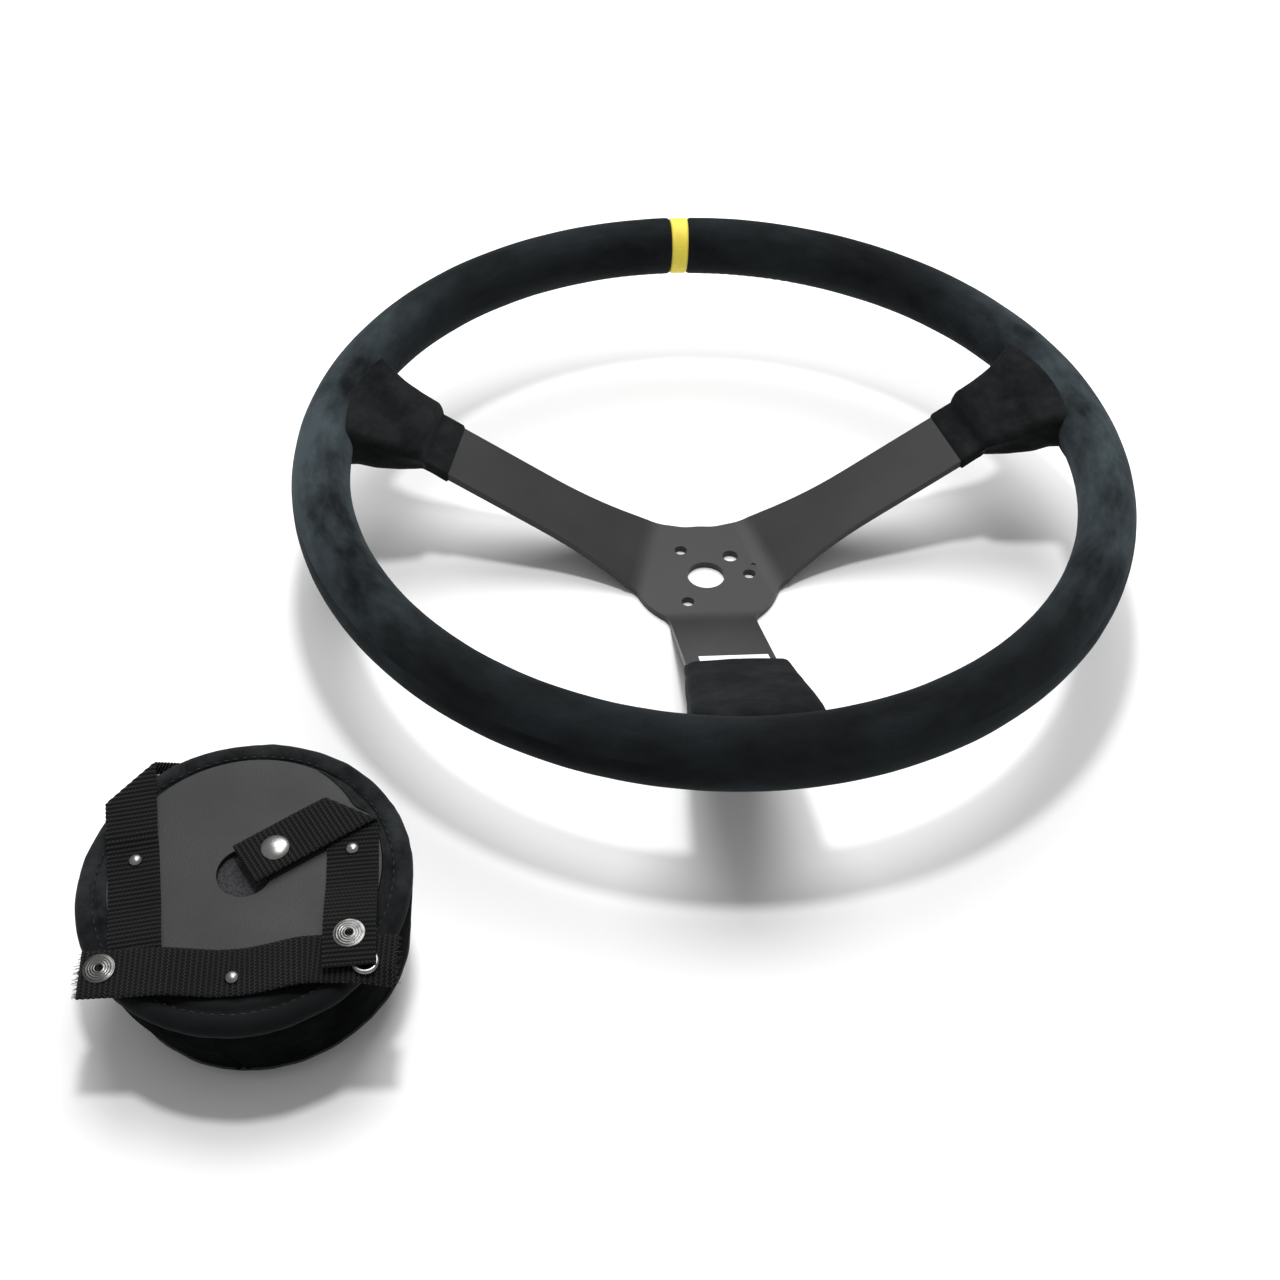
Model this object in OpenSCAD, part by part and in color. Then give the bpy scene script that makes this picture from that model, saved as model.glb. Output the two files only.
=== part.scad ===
// Dished three-spoke steering wheel with its loose round crash pad.
// The wheel lies on the back face of its hub plate, with its axis along +Z and
// the top-centre marker towards +Y. The origin is the centre of the hub bore
// on that back face. The pad lies beside the wheel, back plate upwards.

/* [Rim] */
// Radius of the circle through the middle of the rim's section
rim_r = 189.2; // [185:0.1:195]
// Height of that circle above the back face of the hub
rim_z = 75.7; // [72:0.1:80]
// Width of the grip's oval section, across the wheel
grip_w = 27.4; // [25:0.1:30]
// Depth of the grip's oval section, front to back
grip_d = 33.4; // [30:0.1:36]
// Lean of the section's long side towards the wheel's axis, in degrees
grip_lean = 15.8; // [0:0.1:20]
// Diameter of the round steel rod that forms the hoop inside the grip
hoop_d = 10; // [8:0.5:12]
// Thickness of the suede on rim and spokes
suede_t = 1.2; // [0.8:0.1:1.8]
// Width of the marker band at the top of the rim
band_w = 9.4; // [6:0.1:20]

/* [Spoke frame] */
// Thickness of the pressed plate
plate_t = 3.5; // [3:0.1:4]
// Radius of the hub disc
hub_r = 37.5; // [36:0.1:40]
// Angle that the side spokes rise above the wheel's horizontal line
side_angle = 14.3; // [10:0.1:18]
// Sideways offset of the side spokes from the wheel's axis
side_offset = 8.5; // [6:0.1:10]
// Width of the side spokes where their edges are parallel
side_w = 36.8; // [34:0.1:40]
// Width of the bottom spoke
bottom_w = 43; // [40:0.1:46]
// Rise of the spokes out of the hub's plane, in degrees
spoke_rise = 28; // [26:0.1:30]
// Distance from the wheel's axis to the bend between hub and spoke
bend_at = 33; // [32:0.1:35]
// Radius of the bend between hub and spoke
hub_bend_r = 25; // [20:0.5:28]
// Radius of the bend between spoke and rim tab
tab_bend_r = 12; // [8:0.5:16]

/* [Hub holes] */
// Diameter of the centre bore
bore_d = 19.2; // [16:0.1:22]
// Pitch circle diameter of the three bolt holes, 1.75 inch
bolt_pcd = 44.45; // [44.45:0.01:44.45]
// Diameter of the bolt holes
bolt_hole_d = 6.4; // [5:0.1:7]
// Diameter of the hole for a horn or radio wire
wire_hole_d = 8; // [6:0.1:9]

/* [Spoke boots] */
// Distance from the wheel's axis at which the side boots' padding starts
side_boot_at = 141; // [138:0.5:145]
// Distance from the wheel's axis at which the bottom boot's padding starts
bottom_boot_at = 111; // [108:0.5:120]
// Length of the thin suede collar inboard of the padding
collar_len = 11; // [8:0.5:14]
// Height of a boot's front face above the spoke's middle line
boot_rise = 11.8; // [10:0.1:14]
// Depth of a boot behind the spoke's middle line
boot_drop = 10.7; // [9:0.1:13]
// Thickness of the suede on the boots
boot_skin = 1.5; // [1:0.1:2]

/* [Crash pad] */
// Radius of the pad over its suede binding
pad_r = 68.4; // [66:0.1:72]
// Radius of the pad's wall where it meets the face panel
wall_r = 59.5; // [56:0.1:62]
// Depth of the wall below the back plate
wall_d = 40; // [38:0.5:42]
// Depth of the domed face below the wall
dome_d = 15.5; // [14:0.1:18]
// Thickness of the wall and face panels
panel_t = 1.6; // [1.2:0.1:2.2]
// Radius of the back plate, which sits a little towards the pad's top
back_plate_r = 55.7; // [54:0.1:56]
// Thickness of the back plate
back_plate_t = 2.5; // [2:0.1:3]
// Radius of the hole in the back plate
plate_hole_r = 11.4; // [10:0.1:12]
// Tilt of the pad as it lies on its domed face, in degrees
pad_tilt = 8; // [8:0.1:8]

/* [Straps] */
// Width of the webbing
web_w = 20.5; // [19:0.1:21]
// Thickness of the webbing
web_t = 1.5; // [1.3:0.1:1.6]
// Diameter of a rivet head
rivet_d = 6; // [5:0.1:7]
// Diameter of a press stud's domed cap
cap_d = 12; // [11:0.1:13]
// Diameter of a press stud's flat eyelet
eyelet_d = 13.2; // [12:0.1:14]

/* [Hidden] */
$fn = 96;

suede = [0.10, 0.11, 0.12];
nickel = [0.78, 0.78, 0.80];
webbing = [0.07, 0.07, 0.08];

// ---- Shared outlines -------------------------------------------------------

// The grip's oval section, shrunk by `inset`, as [radius, height] points
function grip_section(inset, n = 36) =
    [for (i = [0 : n - 1])
        let (t = 360 * i / n,
             p = (grip_w / 2 - inset) * cos(t),
             q = (grip_d / 2 - inset) * sin(t))
        [rim_r + p * cos(grip_lean) - q * sin(grip_lean),
         rim_z + p * sin(grip_lean) + q * cos(grip_lean)]];

module grip_ring(inset) {
    rotate_extrude($fn = 180) polygon(grip_section(inset));
}

// ---- Spoke frame -----------------------------------------------------------
// A spoke is drawn in its own frame: u runs outwards, v across, z up. Its plan
// is cut by a side profile that holds the two bends.

hoop_r = hoop_d / 2;
tab_end = rim_r - hoop_r - 0.2;
flare_r = 158;
flare_at = 84;
root_w = 25.5;

bend_start = bend_at - hub_bend_r * tan(spoke_rise / 2);
bend_end = [bend_start + hub_bend_r * sin(spoke_rise),
            plate_t / 2 + hub_bend_r * (1 - cos(spoke_rise))];
tab_bend_z = rim_z - tab_bend_r * (1 - cos(spoke_rise));
tab_bend_u = bend_end[0] + (tab_bend_z - bend_end[1]) / tan(spoke_rise);
bend_steps = 8;
lap = 1;

// Middle line of the plate from bend to tab: [u, z, slope]
spoke_path = concat(
    [[bend_start - lap, plate_t / 2, 0], [bend_start, plate_t / 2, 0]],
    [for (i = [1 : bend_steps]) let (t = spoke_rise * i / bend_steps)
        [bend_start + hub_bend_r * sin(t), plate_t / 2 + hub_bend_r * (1 - cos(t)), t]],
    [for (i = [0 : bend_steps]) let (t = spoke_rise * (1 - i / bend_steps))
        [tab_bend_u + tab_bend_r * (sin(spoke_rise) - sin(t)),
         tab_bend_z + tab_bend_r * (cos(t) - cos(spoke_rise)), t]],
    [[tab_end + 1, rim_z, 0]]);

// The plate's side profile, thickened by `grow` on both faces
function spoke_profile(grow = 0) =
    let (h = plate_t / 2 + grow, n = len(spoke_path))
    concat([for (p = spoke_path) [p[0] - h * sin(p[2]), p[1] + h * cos(p[2])]],
           [for (i = [n - 1 : -1 : 0]) let (p = spoke_path[i])
               [p[0] + h * sin(p[2]), p[1] - h * cos(p[2])]]);

// Height of the spoke's middle line at distance u
function spoke_z(u) = bend_end[1] + (u - bend_end[0]) * tan(spoke_rise);

// Half width of a side spoke, which flares towards the hub
function side_half(u) =
    u >= flare_at ? side_w / 2
                  : side_w / 2 + flare_r - sqrt(flare_r * flare_r - pow(flare_at - u, 2));

// Solids drawn in a side spoke's frame are placed on the right or the left
module on_right() { rotate(side_angle) translate([0, side_offset]) children(); }
module on_left() { mirror([1, 0, 0]) on_right() children(); }
module on_bottom() { rotate(-90) children(); }

function turned(points, a) =
    [for (p = points) [p[0] * cos(a) - p[1] * sin(a), p[0] * sin(a) + p[1] * cos(a)]];
function reversed(points) = [for (i = [len(points) - 1 : -1 : 0]) points[i]];
function arc(c, r, from, to, n) =
    [for (i = [0 : n]) let (t = from + (to - from) * i / n) [c[0] + r * cos(t), c[1] + r * sin(t)]];

// Fillet between the hub disc and an edge that runs along u at distance
// `edge` from the axis: its centre, and its arc from the edge to the hub
function fillet_centre(edge, r) = [sqrt(pow(hub_r + r, 2) - pow(edge + r, 2)), edge + r];
function fillet(edge, r) =
    let (c = fillet_centre(edge, r)) arc(c, r, 270, 180 + atan2(c[1], c[0]), 7);
function fillet_turn(edge, r) = let (c = fillet_centre(edge, r)) atan2(c[1], c[0]);

spoke_reach = 190;
upper_edge = root_w + side_offset;
lower_edge = root_w - side_offset;
upper_fillet = 18;
lower_fillet = 9;

// Right half of the frame's flat outline, from the bottom spoke to the top
right_outline = concat(
    [[bottom_w / 2, -spoke_reach]],
    turned(fillet(bottom_w / 2, lower_fillet), -90),
    arc([0, 0], hub_r, fillet_turn(bottom_w / 2, lower_fillet) - 88,
        side_angle - fillet_turn(lower_edge, lower_fillet) - 2, 4),
    turned(concat(
        reversed([for (p = fillet(lower_edge, lower_fillet)) [p[0], -p[1]]]),
        [for (u = [42 : 6 : flare_at]) [u, side_offset - side_half(u)]],
        [[spoke_reach, side_offset - side_w / 2], [spoke_reach, side_offset + side_w / 2]],
        [for (u = [flare_at : -6 : 42]) [u, side_offset + side_half(u)]],
        [[36, upper_edge]],
        fillet(upper_edge, upper_fillet)), side_angle),
    arc([0, 0], hub_r, side_angle + fillet_turn(upper_edge, upper_fillet) + 2, 89, 3));

module frame_plan() {
    polygon(concat(right_outline, [for (p = reversed(right_outline)) [-p[0], p[1]]]));
}

// The part of the frame beyond one bend, drawn in that spoke's frame
module bent_spoke(plan_turn, shift) {
    intersection() {
        translate([0, shift, 0]) rotate([90, 0, 0])
            linear_extrude(120, center = true) polygon(spoke_profile());
        linear_extrude(rim_z + 20) intersection() {
            rotate(plan_turn) frame_plan();
            translate([bend_start - lap, -60]) square([200, 120]);
        }
        cylinder(h = rim_z + 20, r = tab_end);
    }
}

module spoke_solids() {
    rotate(side_angle) bent_spoke(-side_angle, 0);
    mirror([1, 0, 0]) rotate(side_angle) bent_spoke(-side_angle, 0);
    rotate(-90) bent_spoke(90, 0);
}

module flat_hub() {
    linear_extrude(plate_t) intersection() {
        frame_plan();
        rotate(side_angle) translate([bend_start - 200, -100]) square([200, 200]);
        mirror([1, 0]) rotate(side_angle) translate([bend_start - 200, -100]) square([200, 200]);
        rotate(-90) translate([bend_start - 200, -100]) square([200, 200]);
    }
}

module hub_holes() {
    translate([0, 0, -1]) {
        cylinder(h = plate_t + 2, d = bore_d);
        for (turn = [0, 120, 240]) rotate(turn) translate([bolt_pcd / 2, 0])
            cylinder(h = plate_t + 2, d = bolt_hole_d);
        translate([14, 13.8]) cylinder(h = plate_t + 2, d = wire_hole_d);
    }
    // Locating dimple beside the right-hand bolt hole
    translate([25.2, 6.6, plate_t - 0.6]) cylinder(h = 2, d = 2.6);
}

module spoke_frame() {
    color([0.23, 0.23, 0.24]) difference() {
        union() {
            flat_hub();
            spoke_solids();
        }
        hub_holes();
    }
}

// ---- Rim -------------------------------------------------------------------

module rim_hoop() {
    color([0.45, 0.46, 0.48]) rotate_extrude($fn = 180) translate([rim_r, rim_z]) circle(hoop_r);
}

// One weld bead above each tab, in the corner between tab and hoop
weld = 3;

module weld_bead(length) {
    intersection() {
        translate([0, -length / 2, 0]) cube([rim_r, length, rim_z + hoop_r]);
        rotate_extrude() polygon([
            [tab_end - weld, rim_z + plate_t / 2],
            [tab_end, rim_z + plate_t / 2],
            [rim_r - sqrt(hoop_r * hoop_r - weld * weld) - 0.1, rim_z + weld]]);
    }
}

module rim_welds() {
    color("dimgray") {
        on_right_axis() weld_bead(side_w - 6);
        on_left_axis() weld_bead(side_w - 6);
        on_bottom() weld_bead(bottom_w - 6);
    }
}

// The spoke's centre line reaches the hoop at this angle above horizontal
rim_angle = side_angle + asin(side_offset / tab_end);
module on_right_axis() { rotate(rim_angle) children(); }
module on_left_axis() { mirror([1, 0, 0]) on_right_axis() children(); }

// Room for the spoke tabs and welds inside the grip
module tab_slots(height) {
    for (side = [0, 1]) mirror([side, 0, 0]) rotate(side_angle)
        translate([150, side_offset - side_w / 2 - 0.1, rim_z - height / 2])
            cube([tab_end - 150 + 3, side_w + 0.2, height]);
    rotate(-90) translate([150, -bottom_w / 2 - 0.1, rim_z - height / 2])
        cube([tab_end - 150 + 3, bottom_w + 0.2, height]);
}

module rim_foam() {
    color([0.35, 0.35, 0.36]) difference() {
        grip_ring(suede_t);
        rotate_extrude($fn = 180) translate([rim_r, rim_z]) circle(hoop_r);
        tab_slots(2 * weld + 0.4);
    }
}

// Angle that the marker band takes up at the rim
band_angle = 2 * atan(band_w / 2 / rim_r);
groove_angle = 0.12;

module band_wedge(angle) {
    reach = 240;
    linear_extrude(120) polygon(concat([[0, 0]],
        [for (i = [0 : 4]) let (t = 90 - angle / 2 + angle * i / 4) [reach * cos(t), reach * sin(t)]]));
}

module grip_skin() {
    difference() {
        grip_ring(0);
        grip_ring(suede_t);
        tab_slots(plate_t + 0.2);
    }
}

module rim_cover() {
    color(suede) difference() {
        grip_skin();
        band_wedge(band_angle + 2 * groove_angle);
    }
}

module marker_band() {
    color([0.93, 0.88, 0.30]) intersection() {
        grip_skin();
        band_wedge(band_angle);
    }
}

// Closing stitches along the back of the rim
stitch_d = 1;
stitch_n = 60;
stitch_gap = 0.2;
seam_turn = 262;

module rim_stitching() {
    reach = grip_w / 2 * grip_d / 2
        / sqrt(pow(grip_d / 2 * cos(seam_turn - grip_lean), 2)
            + pow(grip_w / 2 * sin(seam_turn - grip_lean), 2));
    out = reach + stitch_gap + stitch_d / 2;
    color([0.05, 0.05, 0.05]) for (i = [0 : stitch_n - 1])
        rotate(i * 360 / stitch_n + 1) rotate_extrude(angle = 4, $fn = 180)
            translate([rim_r + out * cos(seam_turn), rim_z + out * sin(seam_turn)])
                rotate(seam_turn) square(stitch_d, center = true);
}

// ---- Spoke boots -----------------------------------------------------------

boot_end = rim_r - 5;
boot_margin = 1.3;
front_top = rim_z + 12.8;
back_end = rim_z - 15.2;
shoulder_at = 170;

// One side edge of a boot, as [u, v]: nearly parallel to the spoke, then
// spreading at `spread` degrees until it meets the rim
function boot_edge(start, half, from, spread) =
    [[start, half], [from, half + 3.5], [boot_end, half + 3.5 + (boot_end - from) * tan(spread)]];

// Plan of a boot in the spoke's frame
module boot_plan(start, half, upper, lower) {
    over = boot_edge(start, half, upper[0], upper[1]);
    beneath = boot_edge(start, half, lower[0], lower[1]);
    polygon(concat(over, [for (p = reversed(beneath)) [p[0], -p[1]]]));
}

// Side of a boot: its front runs parallel to the spoke up to the rim's crest,
// and its back follows the spoke down to the rim's back
module boot_side(start, inset) {
    z = spoke_z(start);
    polygon([
        [start, z - boot_drop + inset],
        [start, z + boot_rise - inset],
        [start + (front_top - z - boot_rise) / tan(spoke_rise), front_top - inset],
        [boot_end, front_top - inset],
        [boot_end, back_end + inset],
        [shoulder_at, back_end - 3.5 + inset]]);
}

module boot_block(start, half, upper, lower, inset) {
    intersection() {
        linear_extrude(120) boot_plan(start + inset, half - inset, upper, lower);
        rotate([90, 0, 0]) linear_extrude(160, center = true) boot_side(start, inset);
        cylinder(h = 120, r = boot_end);
    }
}

// [u, degrees] where the edges of a boot start to spread, and how far
side_upper = [166, 46];
side_lower = [158, 41];
bottom_spread = [172, 40];

module side_boot_block(inset) {
    boot_block(side_boot_at, side_w / 2 + boot_margin, side_upper, side_lower, inset);
}

module bottom_boot_block(inset) {
    boot_block(bottom_boot_at, bottom_w / 2 + boot_margin, bottom_spread, bottom_spread, inset);
}

// Thin collar of suede around the spoke, inboard of the padded part
module collar(start, half) {
    intersection() {
        translate([start - collar_len, -half - suede_t, 0])
            cube([collar_len + boot_skin, 2 * (half + suede_t), 100]);
        rotate([90, 0, 0]) linear_extrude(120, center = true) polygon(spoke_profile(suede_t));
    }
}

module spoke_core(half) {
    intersection() {
        translate([90, -half, 0]) cube([110, 2 * half, 100]);
        rotate([90, 0, 0]) linear_extrude(120, center = true) polygon(spoke_profile());
    }
}

module side_boot_foam() {
    color([0.35, 0.35, 0.36]) difference() {
        side_boot_block(boot_skin);
        spoke_core(side_w / 2);
    }
}

module bottom_boot_foam() {
    color([0.35, 0.35, 0.36]) difference() {
        bottom_boot_block(boot_skin);
        spoke_core(bottom_w / 2);
    }
}

module side_boot_cover() {
    color(suede) difference() {
        union() {
            side_boot_block(0);
            collar(side_boot_at, side_w / 2);
        }
        side_boot_block(boot_skin);
        spoke_core(side_w / 2);
    }
}

module bottom_boot_cover() {
    color(suede) difference() {
        union() {
            bottom_boot_block(0);
            collar(bottom_boot_at, bottom_w / 2);
        }
        bottom_boot_block(boot_skin);
        spoke_core(bottom_w / 2);
    }
}

// Boots stop at the outside of the grip
module clear_of_rim() {
    difference() {
        children();
        grip_ring(0);
    }
}

module boot_foam_left() { clear_of_rim() on_left() side_boot_foam(); }
module boot_foam_right() { clear_of_rim() on_right() side_boot_foam(); }
module boot_foam_bottom() { clear_of_rim() on_bottom() bottom_boot_foam(); }
module boot_cover_left() { clear_of_rim() on_left() side_boot_cover(); }
module boot_cover_right() { clear_of_rim() on_right() side_boot_cover(); }
module boot_cover_bottom() { clear_of_rim() on_bottom() bottom_boot_cover(); }

// Plain bar printed across the bottom spoke, just above its boot
module spoke_decal() {
    bar = [7.5, 33, 0.2];
    at = bottom_boot_at - collar_len - 8;
    color("white") rotate(-90) translate([at, 2, spoke_z(at)]) rotate([0, -spoke_rise, 0])
        translate([0, 0, plate_t / 2 + bar[2] / 2]) cube(bar, center = true);
}

// ---- Crash pad -------------------------------------------------------------
// The pad is drawn upside down as it lies: its back plate faces +Z and its
// upper face is z = 0. lean_to is the direction in which it leans.

lean_to = 238.7;
pad_x = -214.8;
pad_y = -230.8;
pad_z = wall_d * cos(pad_tilt)
    + sqrt(pow(dome_d * cos(pad_tilt), 2) + pow(wall_r * sin(pad_tilt), 2));

module in_pad() {
    translate([pad_x, pad_y, pad_z]) rotate(lean_to) rotate([0, pad_tilt, 0]) rotate(-lean_to) children();
}

roll_r = 4.5;
roll_z = -2.5;

// The cushion's wall and its dome, shrunk by `inset`, as [radius, height] points
function wall(inset) =
    [[pad_r - 3.2 - inset, -5.5], [wall_r + 4.5 - inset, -wall_d * 0.55], [wall_r - inset, -wall_d]];
function dome(inset) =
    [for (i = [0 : 12]) let (t = 90 * i / 12)
        [(wall_r - inset) * cos(t), -wall_d - (dome_d - inset) * sin(t)]];

plate_at = [0, 4];
flange_r = 50.5;
flange_drop = 0.4;

// Section of the binding: a roll, with a flange inside it beside the plate
module binding_section() {
    translate([pad_r - roll_r, roll_z]) circle(roll_r);
    translate([flange_r, -back_plate_t]) square([pad_r - roll_r - flange_r, back_plate_t - flange_drop]);
}

module pad_foam() {
    color([0.16, 0.16, 0.17]) in_pad() difference() {
        rotate_extrude() difference() {
            polygon(concat([[0, -back_plate_t], [pad_r - 2 * roll_r, -back_plate_t]], wall(panel_t),
                           dome(panel_t)));
            binding_section();
        }
        for (p = rivets) translate([p[0], p[1], -back_plate_t - 3]) cylinder(h = 4, d = washer_d + 0.4);
    }
}

module pad_side_panel() {
    color(suede) in_pad() rotate_extrude() difference() {
        polygon(concat(wall(0), reversed(wall(panel_t))));
        binding_section();
    }
}

module pad_face_panel() {
    color([0.09, 0.09, 0.10]) in_pad() rotate_extrude()
        polygon(concat(dome(0), reversed(dome(panel_t))));
}

module pad_binding() {
    color(suede) in_pad() difference() {
        rotate_extrude() binding_section();
        translate([plate_at[0], plate_at[1], -5]) cylinder(h = 5, r = back_plate_r + 0.1);
    }
}

// [x, y] of the rivet that holds the middle of each strap to the back plate
left_rivet = [-44.2, 13.3];
right_rivet = [43.9, 10.3];
bottom_rivet = [-2.7, -44.7];
rivets = [left_rivet, right_rivet, bottom_rivet];
shank_d = 3;
washer_d = 9;
washer_t = 0.8;

module pad_back_plate() {
    color([0.26, 0.26, 0.27]) in_pad() difference() {
        translate([plate_at[0], plate_at[1], -back_plate_t]) cylinder(h = back_plate_t, r = back_plate_r);
        translate([plate_at[0], plate_at[1], -5]) cylinder(h = 10, r = plate_hole_r);
        for (p = rivets) translate([p[0], p[1], -5]) cylinder(h = 10, d = shank_d);
    }
}

// ---- Straps ----------------------------------------------------------------
// Each strap is one length of webbing riveted to the plate at its middle. A
// strap is drawn in its own frame, and its height profile, of [along, height]
// points on its lower face, is extruded across the webbing. The ends that are
// free to lift are solids of their own.

web_half = web_w / 2;

module strap_run(line, across = web_w) {
    n = len(line);
    rotate([90, 0, 0]) linear_extrude(across, center = true) polygon(concat(line,
        [for (i = [n - 1 : -1 : 0]) [line[i][0], line[i][1] + web_t]]));
}

module rivet_holes() {
    in_pad() for (p = rivets) translate([p[0], p[1], -1]) cylinder(h = web_t + 2, d = shank_d);
}

// A rivet with z = 0 on the webbing it holds, and its tail under the washer
module rivet() {
    grip = web_t + back_plate_t + washer_t;
    ball = rivet_d * 0.7;
    translate([0, 0, -grip]) cylinder(h = grip, d = shank_d);
    translate([0, 0, -grip - 0.8]) cylinder(h = 0.8, d = shank_d + 2);
    intersection() {
        translate([0, 0, 1.5 - ball]) sphere(ball);
        cylinder(h = 3, d = rivet_d);
    }
}

module pad_rivets() {
    color(nickel) in_pad() for (p = rivets) translate([p[0], p[1], web_t]) rivet();
}

// Washers between plate and foam
module rivet_washers() {
    color(nickel) in_pad() for (p = rivets)
        translate([p[0], p[1], -back_plate_t - washer_t]) difference() {
            cylinder(h = washer_t, d = washer_d);
            translate([0, 0, -1]) cylinder(h = 3, d = shank_d);
        }
}

// Press stud pieces. An eyelet and a stud are closed on one end of a strap, a
// cap and a socket on its other end. Each is drawn with z = 0 on the webbing.
post_d = 3.6;

module cap() {
    crown = 1.8;
    ball = (cap_d * cap_d / 4 + crown * crown) / (2 * crown);
    color(nickel) {
        intersection() {
            translate([0, 0, crown - ball]) sphere(ball);
            cylinder(h = crown, d = cap_d);
        }
        translate([0, 0, -web_t]) cylinder(h = web_t, d = post_d);
    }
}

module socket() {
    color(nickel) difference() {
        cylinder(h = 2.2, d = 11);
        translate([0, 0, 0.6]) cylinder(h = 3, d = 6.2);
    }
}

module eyelet() {
    color(nickel) difference() {
        union() {
            cylinder(h = 0.6, d = eyelet_d);
            translate([0, 0, -web_t]) cylinder(h = web_t, d = post_d);
        }
        translate([0, 0, -5]) cylinder(h = 10, d = 2.2);
    }
}

module stud() {
    color(nickel) difference() {
        union() {
            cylinder(h = 0.8, d = 11);
            cylinder(h = 2.2, d = 5.6);
        }
        translate([0, 0, -1]) cylinder(h = 5, d = 2.2);
    }
}

module post_hole() {
    translate([0, 0, -2]) cylinder(h = web_t + 4, d = post_d);
}

module over_web() { translate([0, 0, web_t]) children(); }
module under_web() { mirror([0, 0, 1]) children(); }

// Left strap: x runs along it. Its lower end lies under the bottom strap and
// its upper end hangs over the pad's edge.
left_at = [-45.3, 14.6];
left_dir = 95.2;
left_line = [[-60, 2.4], [-38, 2.4], [-24, 0.2], [-8, 0], [4, 0], [10, 2.2], [40, 2.3]];
left_low_snap = [-52.5, 0, 2.4];

module on_left_strap() { in_pad() translate([left_at[0], left_at[1], 0]) rotate(left_dir) children(); }

// The line over which the upper end folds, square to the direction fold_turn + 90
fold_turn = 45;
fold_r = 69.8;
fold_z = 2.3;
hang = 88;

module strap_left() {
    color(webbing) difference() {
        on_left_strap() strap_run(left_line);
        in_pad() rotate(fold_turn) translate([-100, fold_r, -60]) cube([200, 200, 120]);
        rivet_holes();
        on_left_strap() translate(left_low_snap) post_hole();
    }
}

// Frame of the hanging end: x along the fold, y down the webbing, z outwards
module on_hanging_end() {
    in_pad() rotate(fold_turn) translate([0, fold_r, fold_z]) rotate([-hang, 0, 0]) children();
}

// Where the strap's middle line crosses the fold, measured along the fold
left_turn = left_dir - 90 - fold_turn;
left_cross = let (a = left_dir - fold_turn,
                  x = left_at[0] * cos(fold_turn) + left_at[1] * sin(fold_turn),
                  y = left_at[1] * cos(fold_turn) - left_at[0] * sin(fold_turn))
    x + (fold_r - y) / tan(a);
left_top_len = 25;
left_top_snap_at = left_top_len - 11.5;
fold_gap = 0.5;

module on_hanging_web() { on_hanging_end() translate([left_cross, 0, 0]) rotate(left_turn) children(); }

module strap_left_top() {
    color(webbing) difference() {
        on_hanging_end() intersection() {
            translate([left_cross, 0, 0]) rotate(left_turn) translate([-web_half, -40, 0])
                cube([web_w, 40 + left_top_len, web_t]);
            translate([-100, fold_gap, -5]) cube([200, 100, 10]);
        }
        on_hanging_web() translate([0, left_top_snap_at, 0]) post_hole();
    }
}

// Right strap: x runs from its rivet towards the pad's top. Its lower end lies
// on the bottom strap and its upper end is folded back over the plate.
right_at = [44, 12.9];
right_hinge = -32.9;
right_line = [[right_hinge, 6], [-20.9, 1.6], [-9, 0], [60, 0]];
right_low_line = [[-60.9, 8.3], [-40.9, 8.3], [right_hinge, 6]];
right_low_snap = [-47.1, 0, 8.3];

module on_right_strap() { in_pad() translate([right_at[0], right_at[1], 0]) rotate(90) children(); }

// The flap is the strap turned over at a crease
flap_dir = 208.4;
crease = (90 + flap_dir) / 2;
crease_at = [44, 29.4];
flap_len = 47.3;
flap_z = 2.4;
flap_snap = [35.5, 0.3, 0];

module beyond_crease(side) {
    in_pad() translate([crease_at[0], crease_at[1], -20]) rotate(crease)
        translate([-100, side, 0]) cube([200, 200, 60]);
}

module strap_right() {
    color(webbing) difference() {
        on_right_strap() strap_run(right_line);
        beyond_crease(-200);
        rivet_holes();
    }
}

module strap_right_low() {
    color(webbing) on_right_strap() difference() {
        strap_run(right_low_line);
        translate(right_low_snap) post_hole();
    }
}

module on_flap() { in_pad() translate([crease_at[0], crease_at[1], flap_z]) rotate(flap_dir) children(); }

module strap_right_flap() {
    color(webbing) difference() {
        on_flap() difference() {
            translate([-20, -web_half, 0]) cube([flap_len + 20, web_w, web_t]);
            translate(flap_snap) post_hole();
        }
        beyond_crease(-200);
    }
}

// Bottom strap: x runs across the pad. It lies over the left strap and under
// the right one. Its left half runs a little upwards, and its right end, past
// bottom_turn_at, a little downwards.
bottom_y = -42.3;
bottom_hinge = -47;
bottom_lift = 3.5;
bottom_turn_at = 28;
bottom_turn = -7;
bottom_line = [[-60, 4.7], [-29, 4.7], [-18, 2], [-10, 0], [4, 0], [12, 1.5], [22, 4.3], [80, 4.3]];
bottom_left_line = [[-61.5, 4.7], [bottom_hinge, 4.7]];
bottom_left_snap = [-53.9, 0.5, 4.7];
bottom_right_snap = [50, -3.6, 4.3];
bottom_tail = 34;

module on_bottom_strap() { in_pad() translate([0, bottom_y, 0]) children(); }
module on_bottom_left() { on_bottom_strap() rotate(-bottom_lift) children(); }

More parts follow.
